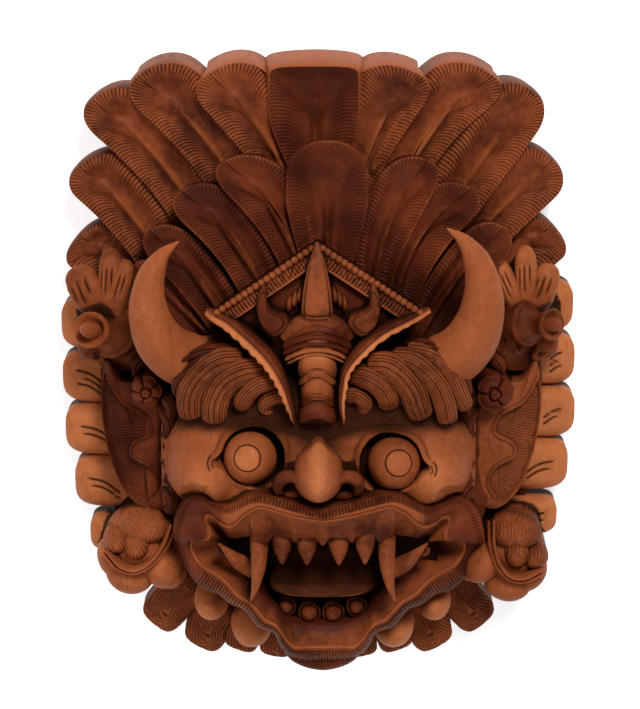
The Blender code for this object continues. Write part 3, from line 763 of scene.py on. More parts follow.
def makeFace():
    piece = Piece("face")
    f = faceShape
    # finer steps across the eyes and the cheeks than beside them
    across = np.r_[-110:-82:2, -82:-20:0.75, -20:20:2, 20:84:0.75, 84:111:2]
    up = np.r_[-96:-80:2, -80:-18:0.75, -18:8:2]
    x, y = np.meshgrid(across, up, indexing="ij")
    z, cutAndPaintedShade = faceHeight(x, y)
    grid = np.dstack([x, y, np.maximum(z, f["foot"] + 2)])
    grid = np.pad(grid, ((1, 1), (1, 1), (0, 0)), mode="edge")
    cutAndPaintedShade = np.pad(cutAndPaintedShade, 1, mode="edge")
    for edge in (grid[0], grid[-1], grid[:, 0], grid[:, -1]):
        edge[:, 2] = f["foot"]
    # the cheeks are painted lighter: wear and a painted highlight on their bulge
    wearAndPaintedLight = 0.5 + 0.6 * hump(np.abs(grid[..., 0]), 80, 24) * hump(grid[..., 1], -62, 22)
    piece.shell(grid, cutAndPaintedShade, wearAndPaintedLight)
    for eye, gaze, bright in f["gaze"]:
        # a ball with a groove round the iris, turned about the way it looks
        turn = np.radians(np.r_[180:60:-12.0, 60:36:-3.0, 36:26:-0.8, 26:-1:-2.6])
        groove = hump(np.degrees(turn), f["iris"], 2.3)
        size = f["eyeRadius"] - 0.9 * groove
        rows = np.column_stack([0.5 + 0.5 * np.cos(turn) * size / f["eyeRadius"], size * np.sin(turn)])
        wearAndPaintedLight = np.where(np.degrees(turn) < f["iris"], bright + 0.15, bright - 0.2)
        reach = np.array(gaze) * f["eyeRadius"]
        piece.turned(eye - reach, eye + reach, rows, 96, groove[:, None], wearAndPaintedLight[:, None])
    piece.finish(wood)


makeFace()

noseShape = {"tip": (0, -54), "top": 157, "foot": 96, "wing": (19, -64), "wingRadius": 8.5,
             "half": [(6, -37), (14, -45), (17.5, -56), (15, -65), (9, -72)],
             "bridge": (0, -33), "lowest": (0, -75)}


def makeNose():
    piece = Piece("nose")
    n = noseShape
    outline = loop([n["bridge"], *n["half"], n["lowest"], *mirrored(n["half"][::-1], -1)], 160)

    def height(x, y, ring):
        bulb = dome(x, y, n["tip"], (19.5, 23), 104, n["top"], 0.55)
        ridge = 1.6 * hump(x, 0, 2.4) * smooth(y, -76, -62)
        plane = -0.05 * np.abs(x) * np.clip(y - n["tip"][1], 0, 20)
        # lighter along the top, with wear and a painted highlight along the ridge; darker on the flanks
        # and towards the lips
        lightness = 0.55 + 0.75 * hump(x, 0, 9) * smooth(y, -76, -64)
        flank = 0.45 * smooth(np.abs(x), 9, 16) * smooth(y, -62, -50)
        return np.maximum(bulb + ridge + plane, 104), flank, lightness

    piece.field(outline, n["foot"], height, rings=40, wearAndPaintedLight=0.5)
    for side in (-1, 1):
        turn = np.radians(np.linspace(15, 225, 9))
        ring = n["wingRadius"]
        line = np.column_stack([side * (n["wing"][0] + 0 * turn) - side * ring * np.cos(turn),
                                n["wing"][1] + (ring + 1) * np.sin(turn),
                                132 - 12 * smooth(turn, 1.5, 4) - 3 * (turn < 0.6)])
        piece.roll(line, [3.5, 4, 4.4, 4, 3], [5, 6, 7, 6, 4], 44, 24, ends=0.08, wearAndPaintedLight=0.3)
        piece.egg((side * (n["wing"][0] - 1), n["wing"][1] - 6.5, 116), (8.5, 5, 9), wearAndPaintedLight=0.2)
        # a dark peg in each nostril: painted shade for the depth of the hole
        nostril = np.array([side * (n["wing"][0] - 0.5), n["wing"][1] - 1, 100])
        piece.turned(nostril, nostril + (0, 0, 23), [(0, 0), (0, 5), (1, 5), (1, 0)], 32, cutAndPaintedShade=1.0)
    piece.finish(wood)


makeNose()
print("face and nose carved")


def makeLips():
    piece = Piece("lips")
    # the ribs stand evenly along the outer edge, and the inner lines follow them
    edge = curve(lipLines[0], 2400)
    run = runAlong(edge)
    count = round(run[-1] / mouth["ribPitch"]) * 3 + 1
    marks = [np.argmin(np.linalg.norm(edge - place, axis=1)) for place in lipLines[0][:-1]]
    passed = np.interp(np.linspace(0, run[-1], count), run[marks + [-1]], np.arange(len(marks) + 1))
    outer, rim, opening = (smoothThrough(line, passed) for line in lipLines)
    # the gum comes down in a point between each two teeth
    far = np.abs(opening[:, :1] - np.array(toothAt)).min(axis=1)
    gum = (opening[:, 1] > -112) & (np.abs(opening[:, 0] - mouth["axis"]) < 48)
    opening[:, 1] -= gum * (1 + mouth["gumPoint"] * smooth(far, 5, 11))
    front = muzzleHeight(rim[:, 0], rim[:, 1])
    lower = smooth(-rim[:, 1], 112, 150)
    ends = smooth(np.abs(outer[:, 0] - mouth["axis"]), 62, 78)
    wide = np.linalg.norm(outer - rim, axis=1)
    deep = np.linalg.norm(opening - rim, axis=1)
    groove = everyThird(count)
    rows, cuts, wearAndPaintedLightValues = [], [], []

    def row(line, z, cutAndPaintedShade=0.0, wearAndPaintedLight=0.2):
        rows.append(raised(line, z))
        cuts.append(np.broadcast_to(cutAndPaintedShade, count))
        wearAndPaintedLightValues.append(np.broadcast_to(wearAndPaintedLight, count))

    start = mouth["edgeDrop"][0] + mouth["edgeDrop"][1] * lower
    row(outer * 1.02, front - 44)
    row(outer * 1.004, front - start - 3)
    # how far in from the outer edge, in shares of the band: the upper ribs are short
    last = mouth["ribEnd"]
    ribEnd = np.where(lower > 0.5, last, np.clip(mouth["upperRib"] / wide, 0.25, last))
    for s in np.r_[0, 0.06, np.linspace(0.14, last, 13)]:
        line = outer + (rim - outer) * s
        swell = 2.2 * math.sin(math.pi * min(1, s * 1.15)) ** 0.7
        ribs = groove * smooth(ribEnd - s, -0.02, 0.10) * smooth(s, 0.0, 0.08)
        z = front - start * (1 - s) ** 1.4 + swell - mouth["ribDepth"] * ribs
        plain = smooth(s - ribEnd, -0.05, 0.05)
        lightness = 0.30 + (0.45 * plain * (1 - ends) - 0.35 * ends) * (1 - lower)
        row(line, z - 0.7 * plain * (lower < 0.5), ribs, lightness)
    # fine lines beside the rim, first outside it and then inside it
    for gap, rise, dark in ((2.2, -0.6, 0.8), (1.5, 0.6, 0), (0.9, -0.1, 0.5), (0.3, 0.9, 0)):
        share = np.clip(1 - gap / wide, 0.87, 1)[:, None]
        row(outer + (rim - outer) * share, front + rise, dark, 0.75)
    for gap, rise, dark in ((0.5, 0.7, 0), (1.2, -0.8, 0.5)):
        row(rim + (opening - rim) * (gap / deep)[:, None], front + rise, dark, 0.75)
    # the inner lip darkens towards the opening: painted shade going into the mouth
    for s in np.linspace(0.12, 1, 12):
        line = rim + (opening - rim) * s
        sag = -4.5 * math.sin(math.pi * s ** 0.8) - 12 * s ** 1.6
        row(line, front + sag, 0.25 * s, 0.6 - 0.55 * s)
    row(opening * 0.999, front - 18, 0, 0)
    row(opening, np.minimum(front - 30, mouth["floor"] + 6), 0, 0)
    row(opening, mouth["floor"] - 14, 0, 0)
    for band in (rows, cuts, wearAndPaintedLightValues):
        band.append(band[0])
    piece.shell(rows, cuts, wearAndPaintedLightValues)
    # the floor deep in the mouth is painted fully dark: painted shade
    floor = superellipse(*mouth["floorShape"], (mouth["axis"], mouth["floorAt"]), 80)
    piece.field(floor, 56, lambda x, y, ring: (mouth["floor"] - 14 - 8 * (1 - ring), 1), 8, wearAndPaintedLight=-0.5)
    piece.roll(mouth["chin"], [4, 8, 9, 8, 4], [10, 13, 14, 13, 10], 60, 28, wearAndPaintedLight=0.1)
    piece.finish(wood)


makeLips()


teethShape = {
    "halfWidths": (8, 8.4, 8.4, 8), "lengths": (17.5, 18, 18, 17.5), "gumEdge": -103,
    "fang": [(44, -101, 96), (44, -108, 112), (44, -117, 121), (45, -127, 125), (47, -138, 125),
             (50, -147, 123)],
    "blade": [(47, -135, 92), (58, -124, 106), (72, -108, 114)],
    "bladeTip": [(68, -119, 100), (72, -116, 107), (73, -113, 111)],
    # the low row: how far out and how big, then the turned outline round the size and its stain
    "low": ((8.5, 5.6), (25, 4.8)), "lowTall": 16,
    "lowOutline": [(0, 1, 3), (0.45, 1, 2.4), (0.52, 1, 1.4), (0.44, 1, 0.8), (0.30, 1, 0.3),
                   (0.4, 1, 0), (0.75, 0.86, 0), (0.92, 0.5, 0), (1.0, 0.15, 0), (1, 0, 0)],
    "lowStain": (0.6, 0.6, 0.4, 0.6, 0.7, 0.2, 0, 0, 0, 0),
    "tongue": (37, 20, 12, 2.6, 3.2), "tongueAt": -140, "tongueTop": 106,
}


def makeTeeth():
    piece = Piece("teeth")
    s, axis = teethShape, mouth["axis"]
    top = s["gumEdge"]
    for x, half, long in zip(toothAt, s["halfWidths"], s["lengths"]):
        piece.roll([(x, top + 11, 108), (x, top, 118), (x, top - long * 0.5, 122), (x, top - long, 123)],
                   [half, half, half * 0.74, 0.8], [9, 9, 6, 0.8], 34, 28, wearAndPaintedLight=0.3, ends=0.06)

    def crested(t, a):
        return 0.9 * np.exp(-np.abs(a - 1.6) / 0.25), 0

    for side in (-1, 1):
        piece.roll(mirrored(s["fang"], side, axis), [6.4, 6.4, 6, 4.9, 2.9, 0.6],
                   [7, 7.5, 7, 6, 4, 0.8], 60, 32, wearAndPaintedLight=0.45)
        piece.roll(mirrored(s["blade"], side, axis), [7, 5.8, 0.6], [7, 5, 0.6], 40, 28, crested,
                   wearAndPaintedLight=0.45)
        piece.roll(mirrored(s["bladeTip"], side, axis), [3.5, 3, 0.8], [4, 4, 1], 16, 16, wearAndPaintedLight=0.1)
        for reach, size in s["low"]:
            place = np.array([axis - 1 + reach * side, -172 + reach * 0.3, 82])
            outline = [(share, size * part + more) for share, part, more in s["lowOutline"]]
            piece.turned(place, place + (0, 0.2 * s["lowTall"], s["lowTall"]), outline, 36,
                         cutAndPaintedShade=np.array(s["lowStain"])[:, None], wearAndPaintedLight=0.3)

    def height(x, y, ring):
        front = smooth(-(y + 140), 0, 9)
        lines = (hump(ring, 0.90, 0.04) + hump(ring, 0.72, 0.04)) * front
        slope = -24 * smooth(y, -149, -127)
        # a carved line inside the edge, and the tongue behind its front edge painted dark: painted shade
        # deep in the mouth
        dark = np.maximum(hump(ring, 0.81, 0.04) * front, 0.8 * smooth(y, -150, -147))
        dark = np.maximum(dark, smooth(y, -148, -141))
        return s["tongueTop"] - 8 * ring ** 8 + 1.1 * lines + slope, dark

    tongue = superellipse(*s["tongue"], (axis, s["tongueAt"]), 120)
    piece.field(tongue, 62, height, 30, wearAndPaintedLight=0.5)
    piece.finish(wood)


makeTeeth()
print("mouth carved")

# each lock of the brows: half its width, its height and the line down its middle, root first
browShape = {
    "ridge": 2.0, "ridgeDepth": 0.9, "mass": (60, 4),
    "left": ((5.5, 113, ((-21, -7), (-29, -5), (-36, -9), (-34, -15))),
             (7.5, 118, ((-29, 6), (-39, 6), (-46, 2), (-51, -5), (-52, -12))),
             (9.5, 121, ((-39, 14), (-52, 13), (-63, 7), (-69, -3), (-71, -13), (-71, -22))),
             (9.5, 119, ((-52, 21), (-67, 20), (-79, 12), (-86, 1), (-88, -10), (-87, -20))),
             (6, 112, ((-60, 24), (-78, 22), (-90, 13), (-95, 3), (-95, -5))),
             (3, 112, ((-58, 27), (-78, 27), (-92, 22), (-101, 17), (-109, 16)))),
    "right": ((6, 113, ((19, -6), (26, -4), (31, -8), (30, -14))),
              (8.5, 118, ((23, 10), (34, 9), (43, 3), (47, -4), (48, -12))),
              (9.5, 121, ((34, 18), (47, 18), (57, 11), (64, 1), (67, -8), (71, -20))),
              (8.5, 119, ((50, 22), (63, 21), (73, 14), (81, 4), (86, -9), (89, -24))),
              (7, 113, ((60, 26), (76, 23), (87, 15), (93, 4), (98, -8), (101, -14))),
              (3, 107, ((66, 30), (82, 28), (94, 19), (101, 6), (104, -6)))),
}


def arc(centre, radii, start, end, heights, count=9):
    turn = np.radians(np.linspace(start, end, count))
    return np.column_stack([centre[0] + radii[0] * np.cos(turn), centre[1] + radii[1] * np.sin(turn),
                            along(heights, np.linspace(0, 1, count))])


def ridged(width, pitch, depth):
    # grooves that run along a roll, evenly spaced across it
    def relief(t, a):
        cutAndPaintedShade = notch(np.cos(a) * width / pitch, 0.34) * (np.sin(a) > -0.2)
        return -depth * cutAndPaintedShade, cutAndPaintedShade
    return relief


def makeBrows():
    piece = Piece("brows")
    b = browShape
    for side, name in ((-1, "left"), (1, "right")):
        x0, y0 = b["mass"]
        mass = superellipse(36, 22, 22, 2.2, 2.6, (x0 * side, y0), 80)
        # the mass under the locks is painted dark: painted shade between the locks
        piece.field(mass, 70, lambda x, y, ring: (99 + 7 * (1 - ring ** 2.2), 0.7), 12, wearAndPaintedLight=-0.2)
        for half, crest, line in b[name]:
            rise = along((crest - 7, crest, crest + 1, crest - 1, crest - 7), np.linspace(0, 1, len(line)))
            spine = np.column_stack([line, rise - 9])
            piece.roll(spine, [half * 0.8, half, half, half, half * 0.85], [7, 10, 11, 10, 6], 44, 72,
                       ridged(half, b["ridge"], b["ridgeDepth"]), wearAndPaintedLight=0.45 if crest > 112 else 0.15,
                       ends=0.05)
    piece.finish(wood)


makeBrows()

# each horn is an arc: its centre, radii, first and last angle, then its widths and depths
hornShape = {"rise": (74, 90, 104, 114, 120, 124), "keel": 1.6,
             "left": ((-79, 62), (36, 48), 285, 113, [16, 19.5, 17, 13, 8.5, 0.6],
                      [15, 19, 17, 13, 9, 0.6]),
             "right": ((73, 65), (38, 53), -105, 71, [16, 20, 18, 14, 9, 0.6],
                       [15, 19, 18, 14, 9, 0.6])}


def makeHorns():
    piece = Piece("horns")
    h = hornShape

    def keel(t, a):
        line = np.abs(a - math.pi * 0.52)
        return h["keel"] * np.exp(-line / 0.22) * smooth(1 - t, 0.02, 0.3), 0

    for centre, radii, start, end, widths, depths in (h["left"], h["right"]):
        piece.roll(arc(centre, radii, start, end, h["rise"], 9), widths, depths, 64, 48, keel, wearAndPaintedLight=0.85)
    piece.finish(wood)


makeHorns()
print("brows and horns carved")

tiaraShape = {"axis": -1, "apex": 97, "corner": (69, 50), "edgeTop": 85, "bead": 2.5, "beadPitch": 4.5,
              "hatchPitch": 2.5, "panel": 90, "crescentTop": 107,
              "crescent": [(37, 72), (41, 65), (42, 56), (40, 46), (35, 39), (30, 36), (24, 39),
                           (20, 45), (22, 50), (28, 52), (33, 55), (35, 61), (35, 67)],
              "flapLeft": [(-70, 48, 84), (-56, 41, 97), (-37, 25, 110), (-26, 9, 117), (-20, -8, 117),
                           (-17, -20, 112)],
              "flapRight": [(70, 50, 84), (44, 40, 103), (29, 28, 110), (20, 17, 115), (17, 5, 118),
                            (16, -8, 117), (17, -20, 112)],
              "spike": [(0, 53, 104), (0, 62, 108), (0, 80, 109), (0, 103, 107)],
              "collar": [(-22, 35, 95), (-11, 43, 100), (0, 46, 101), (11, 43, 100), (22, 35, 95)],
              "trunk": [(0, 44, 94), (0, 12, 106), (0, -22, 110)],
              # how far the trunk's rings stand out at each height
              "rings": [(44, 0), (42, 2.5), (38, 3), (37, 0.3), (36, 2.8), (33, 3.2), (32, 0.2),
                        (31, 2.6), (27, 3.4), (25.5, 0.2), (24.5, 2.6), (18, 3.6), (13.4, 2.6),
                        (12.8, 0), (12, 2.2), (10, 2.6), (8.6, 2), (8, -0.6), (7, 0.4), (3, 1.0),
                        (-1.2, 0.4), (-1.8, -0.6), (-2.4, 0.9), (-3.4, 0.9), (-3.9, -0.5), (-4.4, 0.8),
                        (-5.4, 0.8), (-6, -0.8), (-8, 1.2), (-13, 2.2), (-18, 0), (-23, -4)],
              # arches over the trunk: peak, feet, half width, thickness, level and how rubbed;
              # the last two are the light double ring
              "arches": ((43, 31, 19, 3.4, 106, 0.2), (37.5, 26, 20, 3.0, 107, -0.1),
                         (33, 22, 20, 2.4, 108.5, -0.2), (29.5, 19, 19, 1.3, 112, 1.0),
                         (26.8, 17, 17, 1.2, 112, 1.0))}


def tiaraPanel(piece):
    # the hatched gable, with a wall and beads along its two upper edges
    s, axis = tiaraShape, tiaraShape["axis"]
    apex = np.array([axis, s["apex"]], float)
    corners = [np.array([side * s["corner"][0], s["corner"][1]], float) for side in (-1, 1)]
    edges = [spread(np.array([apex, corner]), 3) for corner in corners]
    outline = spread(np.array([apex, corners[0], (-52, 28), (-34, 8), (-22, -18), (20, -18), (34, 10),
                               (50, 30), corners[1], apex]), 321)

    def panel(x, y, ring):
        near, share, _ = nearLine(x, y, edges[0])
        far, part, _ = nearLine(x, y, edges[1])
        near, share = np.minimum(near, far), np.where(far < near, part, share)
        band = smooth(11 - near, 0, 1.2)
        z = s["panel"] + 7 * band
        phase = share * lengthOf(edges[0]) / s["hatchPitch"] - near * 0.12 + near ** 2 * 0.012
        strokes = notch(phase, 0.34)
        strokes = strokes * smooth(near, 1.2, 2.2) * smooth(9 - near, 0, 1)
        ledge = hump(near, 12.5, 0.8) * 1.5
        lightness = -0.6 + 1.2 * band * smooth(near, 1.2, 2.2) * (1 - strokes)
        return z - 1.1 * strokes + ledge, np.maximum(strokes, hump(near, 14, 1.2) * 0.5), lightness

    piece.field(outline, 62, panel, 64, centre=(axis, 40), wearAndPaintedLight=-0.35, edge=0.62)
    for edge in edges:
        line = raised(edge, s["edgeTop"])
        piece.roll(line, [2.2] * 2, [13, 13], 30, 12, wearAndPaintedLight=-0.2)
        for place in spread(line, round(lengthOf(line) / s["beadPitch"]) + 1):
            piece.egg(place + (0, 1.6, 13), (s["bead"],) * 3, 12, 8, wearAndPaintedLight=0.5)


def tiaraMotifs(piece):
    # the spike and its collar, and a crescent with three small leaves on each side
    s, axis = tiaraShape, tiaraShape["axis"]

    def outlined(t, a):
        groove = hump(np.abs(np.cos(a)), 0.84, 0.08) * (np.sin(a) > 0) * (t < 0.94)
        groove = np.maximum(groove, hump(t, 0.07, 0.02) * (np.abs(np.cos(a)) < 0.84) * (np.sin(a) > 0))
        return -1.2 * groove, groove

    piece.roll(mirrored(s["spike"], 1, axis), [11, 9.5, 6.3, 0.6], [9, 8, 6, 0.8], 40, 56, outlined,
               wearAndPaintedLight=0.45, ends=0.04, square=3)
    piece.roll(mirrored(s["collar"], 1, axis), [5, 7, 7.5, 7, 5], [6, 8, 8, 8, 6], 40, 28, wearAndPaintedLight=0.3,
               square=3)

    def crescent(x, y, ring):
        line = hump(ring, 0.80, 0.035)
        return s["crescentTop"] - 4 * ring ** 10 - 0.9 * line, line

    for side in (-1, 1):
        piece.field(loop(mirrored(s["crescent"], side), 140), 70, crescent, 30,
                    centre=(side * 37.5, 50), wearAndPaintedLight=-0.1 if side < 0 else 0.35)
        for k in range(3):
            leaf = [(11 + 3.5 * k, 69 - 3 * k, 93), (12 + 3.5 * k, 63 - 3 * k, 96),
                    (12 + 3.5 * k, 58 - 3 * k, 93)]
            piece.roll(mirrored(leaf, side, axis), [0.7, 1.8, 2], [1, 3, 2], 14, 12, ends=0.2, wearAndPaintedLight=0.3)


def tiaraFlaps(piece):
    # the two long flaps beside the trunk, chipped along their inner edges
    def scalloped(t, a):
        low = np.clip(np.cos(a), 0, 1) ** 1.5 * (np.sin(a) > -0.6) * smooth(t, 0.1, 0.25)
        chips = np.abs(np.sin(math.pi * (15 * t + 0.4 * np.sin(9 * t)))) ** 0.6
        crease = hump(np.cos(a), -0.17, 0.08) * (np.sin(a) > 0) * (t > 0.1)
        return -3.2 * low * (1 - chips) - 0.8 * crease, 0.6 * low * (1 - chips) + 0.7 * crease

    around = np.linspace(0, 2 * math.pi, 37)
    for line, turned, wide in ((tiaraShape["flapLeft"], 1, 1), (tiaraShape["flapRight"], -1, 0.75)):
        def relief(t, a, turned=turned):
            return scalloped(t, a if turned > 0 else math.pi - a)
        # the chipped side is painted bright, a painted highlight where the flap faces the light; the rest
        # of the flap stays dark
        bright = 0.15 + 1.4 * smooth(np.cos(around) * turned, -0.1, 0.05) * (np.sin(around) > -0.5)
        piece.roll(line, [3.5 * wide, 5 * wide, 5 * wide, 4 * wide, 1.2], [12, 15, 15, 11, 4], 120, 36,
                   relief, wearAndPaintedLight=bright, square=5)


def tiaraTrunk(piece):
    # the ringed trunk down to the nose, and the arches over it
    s, axis = tiaraShape, tiaraShape["axis"]
    rings = np.array(s["rings"])[::-1]
    top, tall = s["trunk"][0][1], s["trunk"][0][1] - s["trunk"][-1][1]

    def ringed(t, a):
        out = np.interp(top - tall * t + 6 * np.cos(a) ** 2, rings[:, 0], rings[:, 1])
        return out, smooth(0.3 - out, 0, 0.8) * 0.8

    down = top - tall * np.linspace(0, 1, 200)
    lightness = 0.25 + 0.9 * hump(down, 20, 7) + 0.4 * hump(down, 3, 5) - 0.5 * smooth(-down, 5, 8)
    piece.roll(mirrored(s["trunk"], 1, axis), [11.5, 10, 11.5], [11, 11, 10], 200, 36, ringed,
               wearAndPaintedLight=lightness[:, None])
    for peak, foot, half, wide, high, bright in s["arches"]:
        line = [(axis + half * u, foot + (peak - foot) * math.cos(1.35 * u) ** 0.8, high - 10 * u * u)
                for u in np.linspace(-1, 1, 7)]
        piece.roll(line, [wide] * 7, [6] * 7, 40, 16, wearAndPaintedLight=bright)


def makeTiara():
    piece = Piece("tiara")
    for part in (tiaraPanel, tiaraMotifs, tiaraFlaps, tiaraTrunk):
        part(piece)
    piece.finish(wood)


makeTiara()
print("tiara carved")

earShape = {"top": 64, "recess": 4.5, "hatch": 2.1,
            "edge": [(-149, 8), (-153, -16), (-151, -44), (-146, -66), (-138, -86), (-125, -99),
                     (-112, -96), (-106, -76), (-104, -48), (-108, -20), (-122, -8), (-139, -6)],
            "rim": [(-148, -4), (-138, -20), (-122, -30), (-118, -43), (-131, -51), (-132, -60),
                    (-119, -68), (-114, -80), (-119, -91)],
            # shift outwards, how light it is painted, and the flower's place, size and count of petals
            "left": (0, 0.1, (-119.5, -8, 82), 11, 5), "right": (6, 0.5, (121.9, -9, 82), 13, 3)}


def flower(piece, at, size, petals):
    turn = np.linspace(0, 2 * math.pi, 121)
    bloom = size * (0.80 + 0.20 * np.abs(np.cos(petals * turn / 2)) ** 0.6)
    edge = np.column_stack([at[0] + bloom * np.cos(turn), at[1] + bloom * np.sin(turn)])

    def petal(x, y, ring):
        turn = np.arctan2(y - at[1], x - at[0])
        split = notch(petals * turn / (2 * math.pi) + 0.5, 0.10) * smooth(ring, 0.25, 0.5)
        rise = 4.5 * np.sin(math.pi * np.clip(ring * 1.1, 0, 1)) ** 0.8
        button = 6 * np.sqrt(np.clip(1 - (ring / 0.3) ** 2, 0, 1))
        gap = hump(ring, 0.33, 0.05)
        return at[2] + rise + button - 2 * split - 2.0 * gap, np.maximum(split, gap * 0.8)

    piece.field(edge, 52, petal, 20, centre=at[:2], wearAndPaintedLight=-0.15)


def makeEars():
    piece = Piece("ears")
    e = earShape
    for side, (shift, bright, flowerAt, size, petals) in ((-1, e["left"]), (1, e["right"])):
        edge = loop(mirrored(e["edge"], -side, side * shift * 0.6), 240)
        rim = curve(mirrored(e["rim"], -side, side * shift), 60)

        def height(x, y, ring, side=side, rim=rim):
            far, _, turn = nearLine(x, y, rim)
            outside = turn * side * far
            out = smooth(outside, 0.6, 1.6)
            hatch = notch((y + 0.25 * x * side) / e["hatch"] + 0.4 * np.sin(x / 7), 0.32)
            hatch = hatch * smooth(outside, 2.0, 3.2) * smooth(0.97 - ring, 0, 0.06)
            wall = 1.6 * hump(far, 0, 0.8)
            line = hump(far, 1.7, 0.5) * 0.8
            z = e["top"] - 4 * ring ** 4 - e["recess"] * out * smooth(1 - ring, 0.02, 0.12) + wall
            return z - 0.9 * hatch, np.maximum(np.maximum(hatch * 0.9, line), 0.35 * out)

        piece.field(edge, 20, height, 52, wearAndPaintedLight=bright)
        # tufts of hair between the ear and the face
        for k in range(7):
            x, y = 102 + 1.5 * math.sin(2.1 * k), -22 - 11 * k
            tuft = [(x + 6, y + 9, 66), (x, y + 2, 76), (x + 1, y - 6, 74), (x + 7, y - 9, 66)]
            piece.roll(mirrored(tuft, side), [3, 6, 5, 1.5], [5, 8, 7, 2], 18, 32,
                       ridged(5.5, 2.4, 0.8), wearAndPaintedLight=-0.1)
        flower(piece, flowerAt, size, petals)
    piece.finish(wood)


makeEars()

# each upper lobe: its lean, length and half width
palmShape = {"left": ((-24, 33, 12), (3, 43, 8), (15, 36, 7.5)),
             "right": ((-16, 31, 9.5), (4, 43, 8), (25, 38, 7)), "root": 147,
             # where each lower lobe starts, where it ends and how far it hangs
             "lowerLobes": ((162, 150, 37), (136, 138, 32)),
             "stud": [(0, 0), (0.02, 18.5), (0.08, 19), (0.13, 18.6), (0.16, 17.4), (0.165, 16.2),
                      (0.20, 15.8), (0.28, 11), (0.40, 9.2), (0.52, 9.4), (0.62, 11), (0.70, 12.4),
                      (0.76, 12.6), (0.79, 11.8), (0.775, 10.2), (0.70, 8.4), (0.68, 6.4), (0.74, 5.8),
                      (0.84, 5.4), (0.92, 4), (0.97, 2), (1, 0)]}


def makePalmettes():
    piece = Piece("palmettes")
    p = palmShape

    def veined(t, a):
        cutAndPaintedShade = 0
        for across, start, end in ((-0.45, 0.55, 0.82), (0.0, 0.50, 0.86), (0.42, 0.58, 0.86)):
            span = smooth(t, start, start + 0.1) * smooth(end - t, 0, 0.1)
            cutAndPaintedShade = np.maximum(cutAndPaintedShade, hump(np.cos(a) + 0.25 * np.sin(3 * t), across, 0.09) * span)
        cutAndPaintedShade = cutAndPaintedShade * (np.sin(a) > 0)
        return -1.4 * cutAndPaintedShade, cutAndPaintedShade

    for side, y, lobes in ((-1, 44, p["left"]), (1, 46, p["right"])):
        for lean, long, half in lobes:
            tilt = math.radians(lean)
            toward = np.array([-side * math.sin(tilt), math.cos(tilt)])
            root = np.array([side * (p["root"] - lean * 0.3), y])
            line = [(*(root + toward * long * share), 54 + height)
                    for share, height in ((-0.5, -4), (0, 1), (0.5, 7), (0.85, 6), (1.04, 2))]
            # the right-hand lobes are painted lighter: painted highlight from the light on the right
            piece.roll(line, [6, 7, half, half, half * 0.8], [9, 10, 9, 8, 5], 48, 60, veined,
                       wearAndPaintedLight=0.5 if side < 0 else 0.9, square=2.4, ends=0.16)
        stem = superellipse(25, 40, 36, 2.4, 2.4, (140 * side, 34), 100)
        piece.field(stem, 8, lambda x, y, ring: 46 + 8 * (1 - ring ** 2.2), 14, wearAndPaintedLight=0.25)
        for x, tipX, drop in p["lowerLobes"]:
            lobe = [(x, y - 16, 50), ((x + tipX) / 2 + 3, y - 28, 57), (tipX, y - drop, 55)]
            piece.roll(mirrored(lobe, side), [6, 9, 1.5], [8, 8, 3], 28, 32, veined, wearAndPaintedLight=0.4,
                       ends=0.05)
        # small curls in the shade between the horn and the flower
        for k in range(3):
            x, yy = 112 + 7 * k, 20 - 8 * k
            curl = [(x - 8, yy + 10, 58), (x, yy + 4, 64), (x + 3, yy - 6, 62)]
            piece.roll(mirrored(curl, side), [3, 6, 1.5], [5, 7, 3], 20, 32, ridged(5.5, 2.6, 0.8),
                       wearAndPaintedLight=-0.2)
    piece.turned((-143, 27, 50), (-160, 42, 107), p["stud"], 64, wearAndPaintedLight=0.45)
    turnedAway = [(-0.5, 0), (-0.5, 13)] + [(share, 0.88 * radius) for share, radius in p["stud"][1:]]
    piece.turned((144, 37, 64), (166, 41, 90), turnedAway, 64, wearAndPaintedLight=0.25)
    piece.finish(wood)


makePalmettes()
print("ears and palmettes carved")

leafShape = {"pitch": 39, "tall": 19.5, "top": 34, "leftFirst": 27, "rightFirst": 40,
             "leftReach": (183, 183, 182, 176, 166), "rightReach": (181, 183, 184, 180, 173),
             # how many cuts each leaf has at its end, and how long they are
             "leftCuts": ((2, 16), (3, 22), (2, 32), (2, 26), (1, 16)),
             "rightCuts": ((2, 12), (3, 10), (2, 15), (2, 26), (2, 11))}


def makeLeaves():
    piece = Piece("leaves")
    s = leafShape
    # the right-hand leaves are painted a little lighter: painted light from the right
    for side, first, reach, cuts, light in (
            (-1, s["leftFirst"], s["leftReach"], s["leftCuts"], 1.2),
            (1, s["rightFirst"], s["rightReach"], s["rightCuts"], 1.3)):
        for k, far in enumerate(reach):
            y = first - s["pitch"] * k
            tall = s["tall"] if k < 4 else 15
            half = (far - 118) / 2
            edge = superellipse(half, tall, tall, 4, 3.4, (side * (far - half), y), 110)
            lines = []
            count, long = cuts[k]
            for j in range(count):
                rise = y + 5 * (j - (count - 1) / 2) + 1
                lines.append(curve([(side * (far - 9 - long), rise - 0.45 * long),
                                    (side * (far - 9 - 0.5 * long), rise - 0.07 * long),
                                    (side * (far - 9), rise + 1)], 14))

            def height(x, yy, ring, y=y, lines=lines):
                cutAndPaintedShade = carve(x, yy, lines, 1.1)
                tip = 0.12 * (yy - y)
                return s["top"] + tip - 9 * ring ** 5 - 1.6 * cutAndPaintedShade, cutAndPaintedShade

            piece.field(edge, 4, height, 32, wearAndPaintedLight=light)
    piece.finish(wood)


makeLeaves()

# each feather of the beard: its place, lean, height, length and half width
beardShape = {"feathers": ((106, -182, 41, 26, 22, 16), (77, -196, 29, 28, 22, 16),
                           (54, -203, 20, 32, 14, 13), (30, -207, 11, 38, 12, 12)),
              "balls": ((80, -172, 13), (51, -190, 15.5)), "ridge": 2.1}


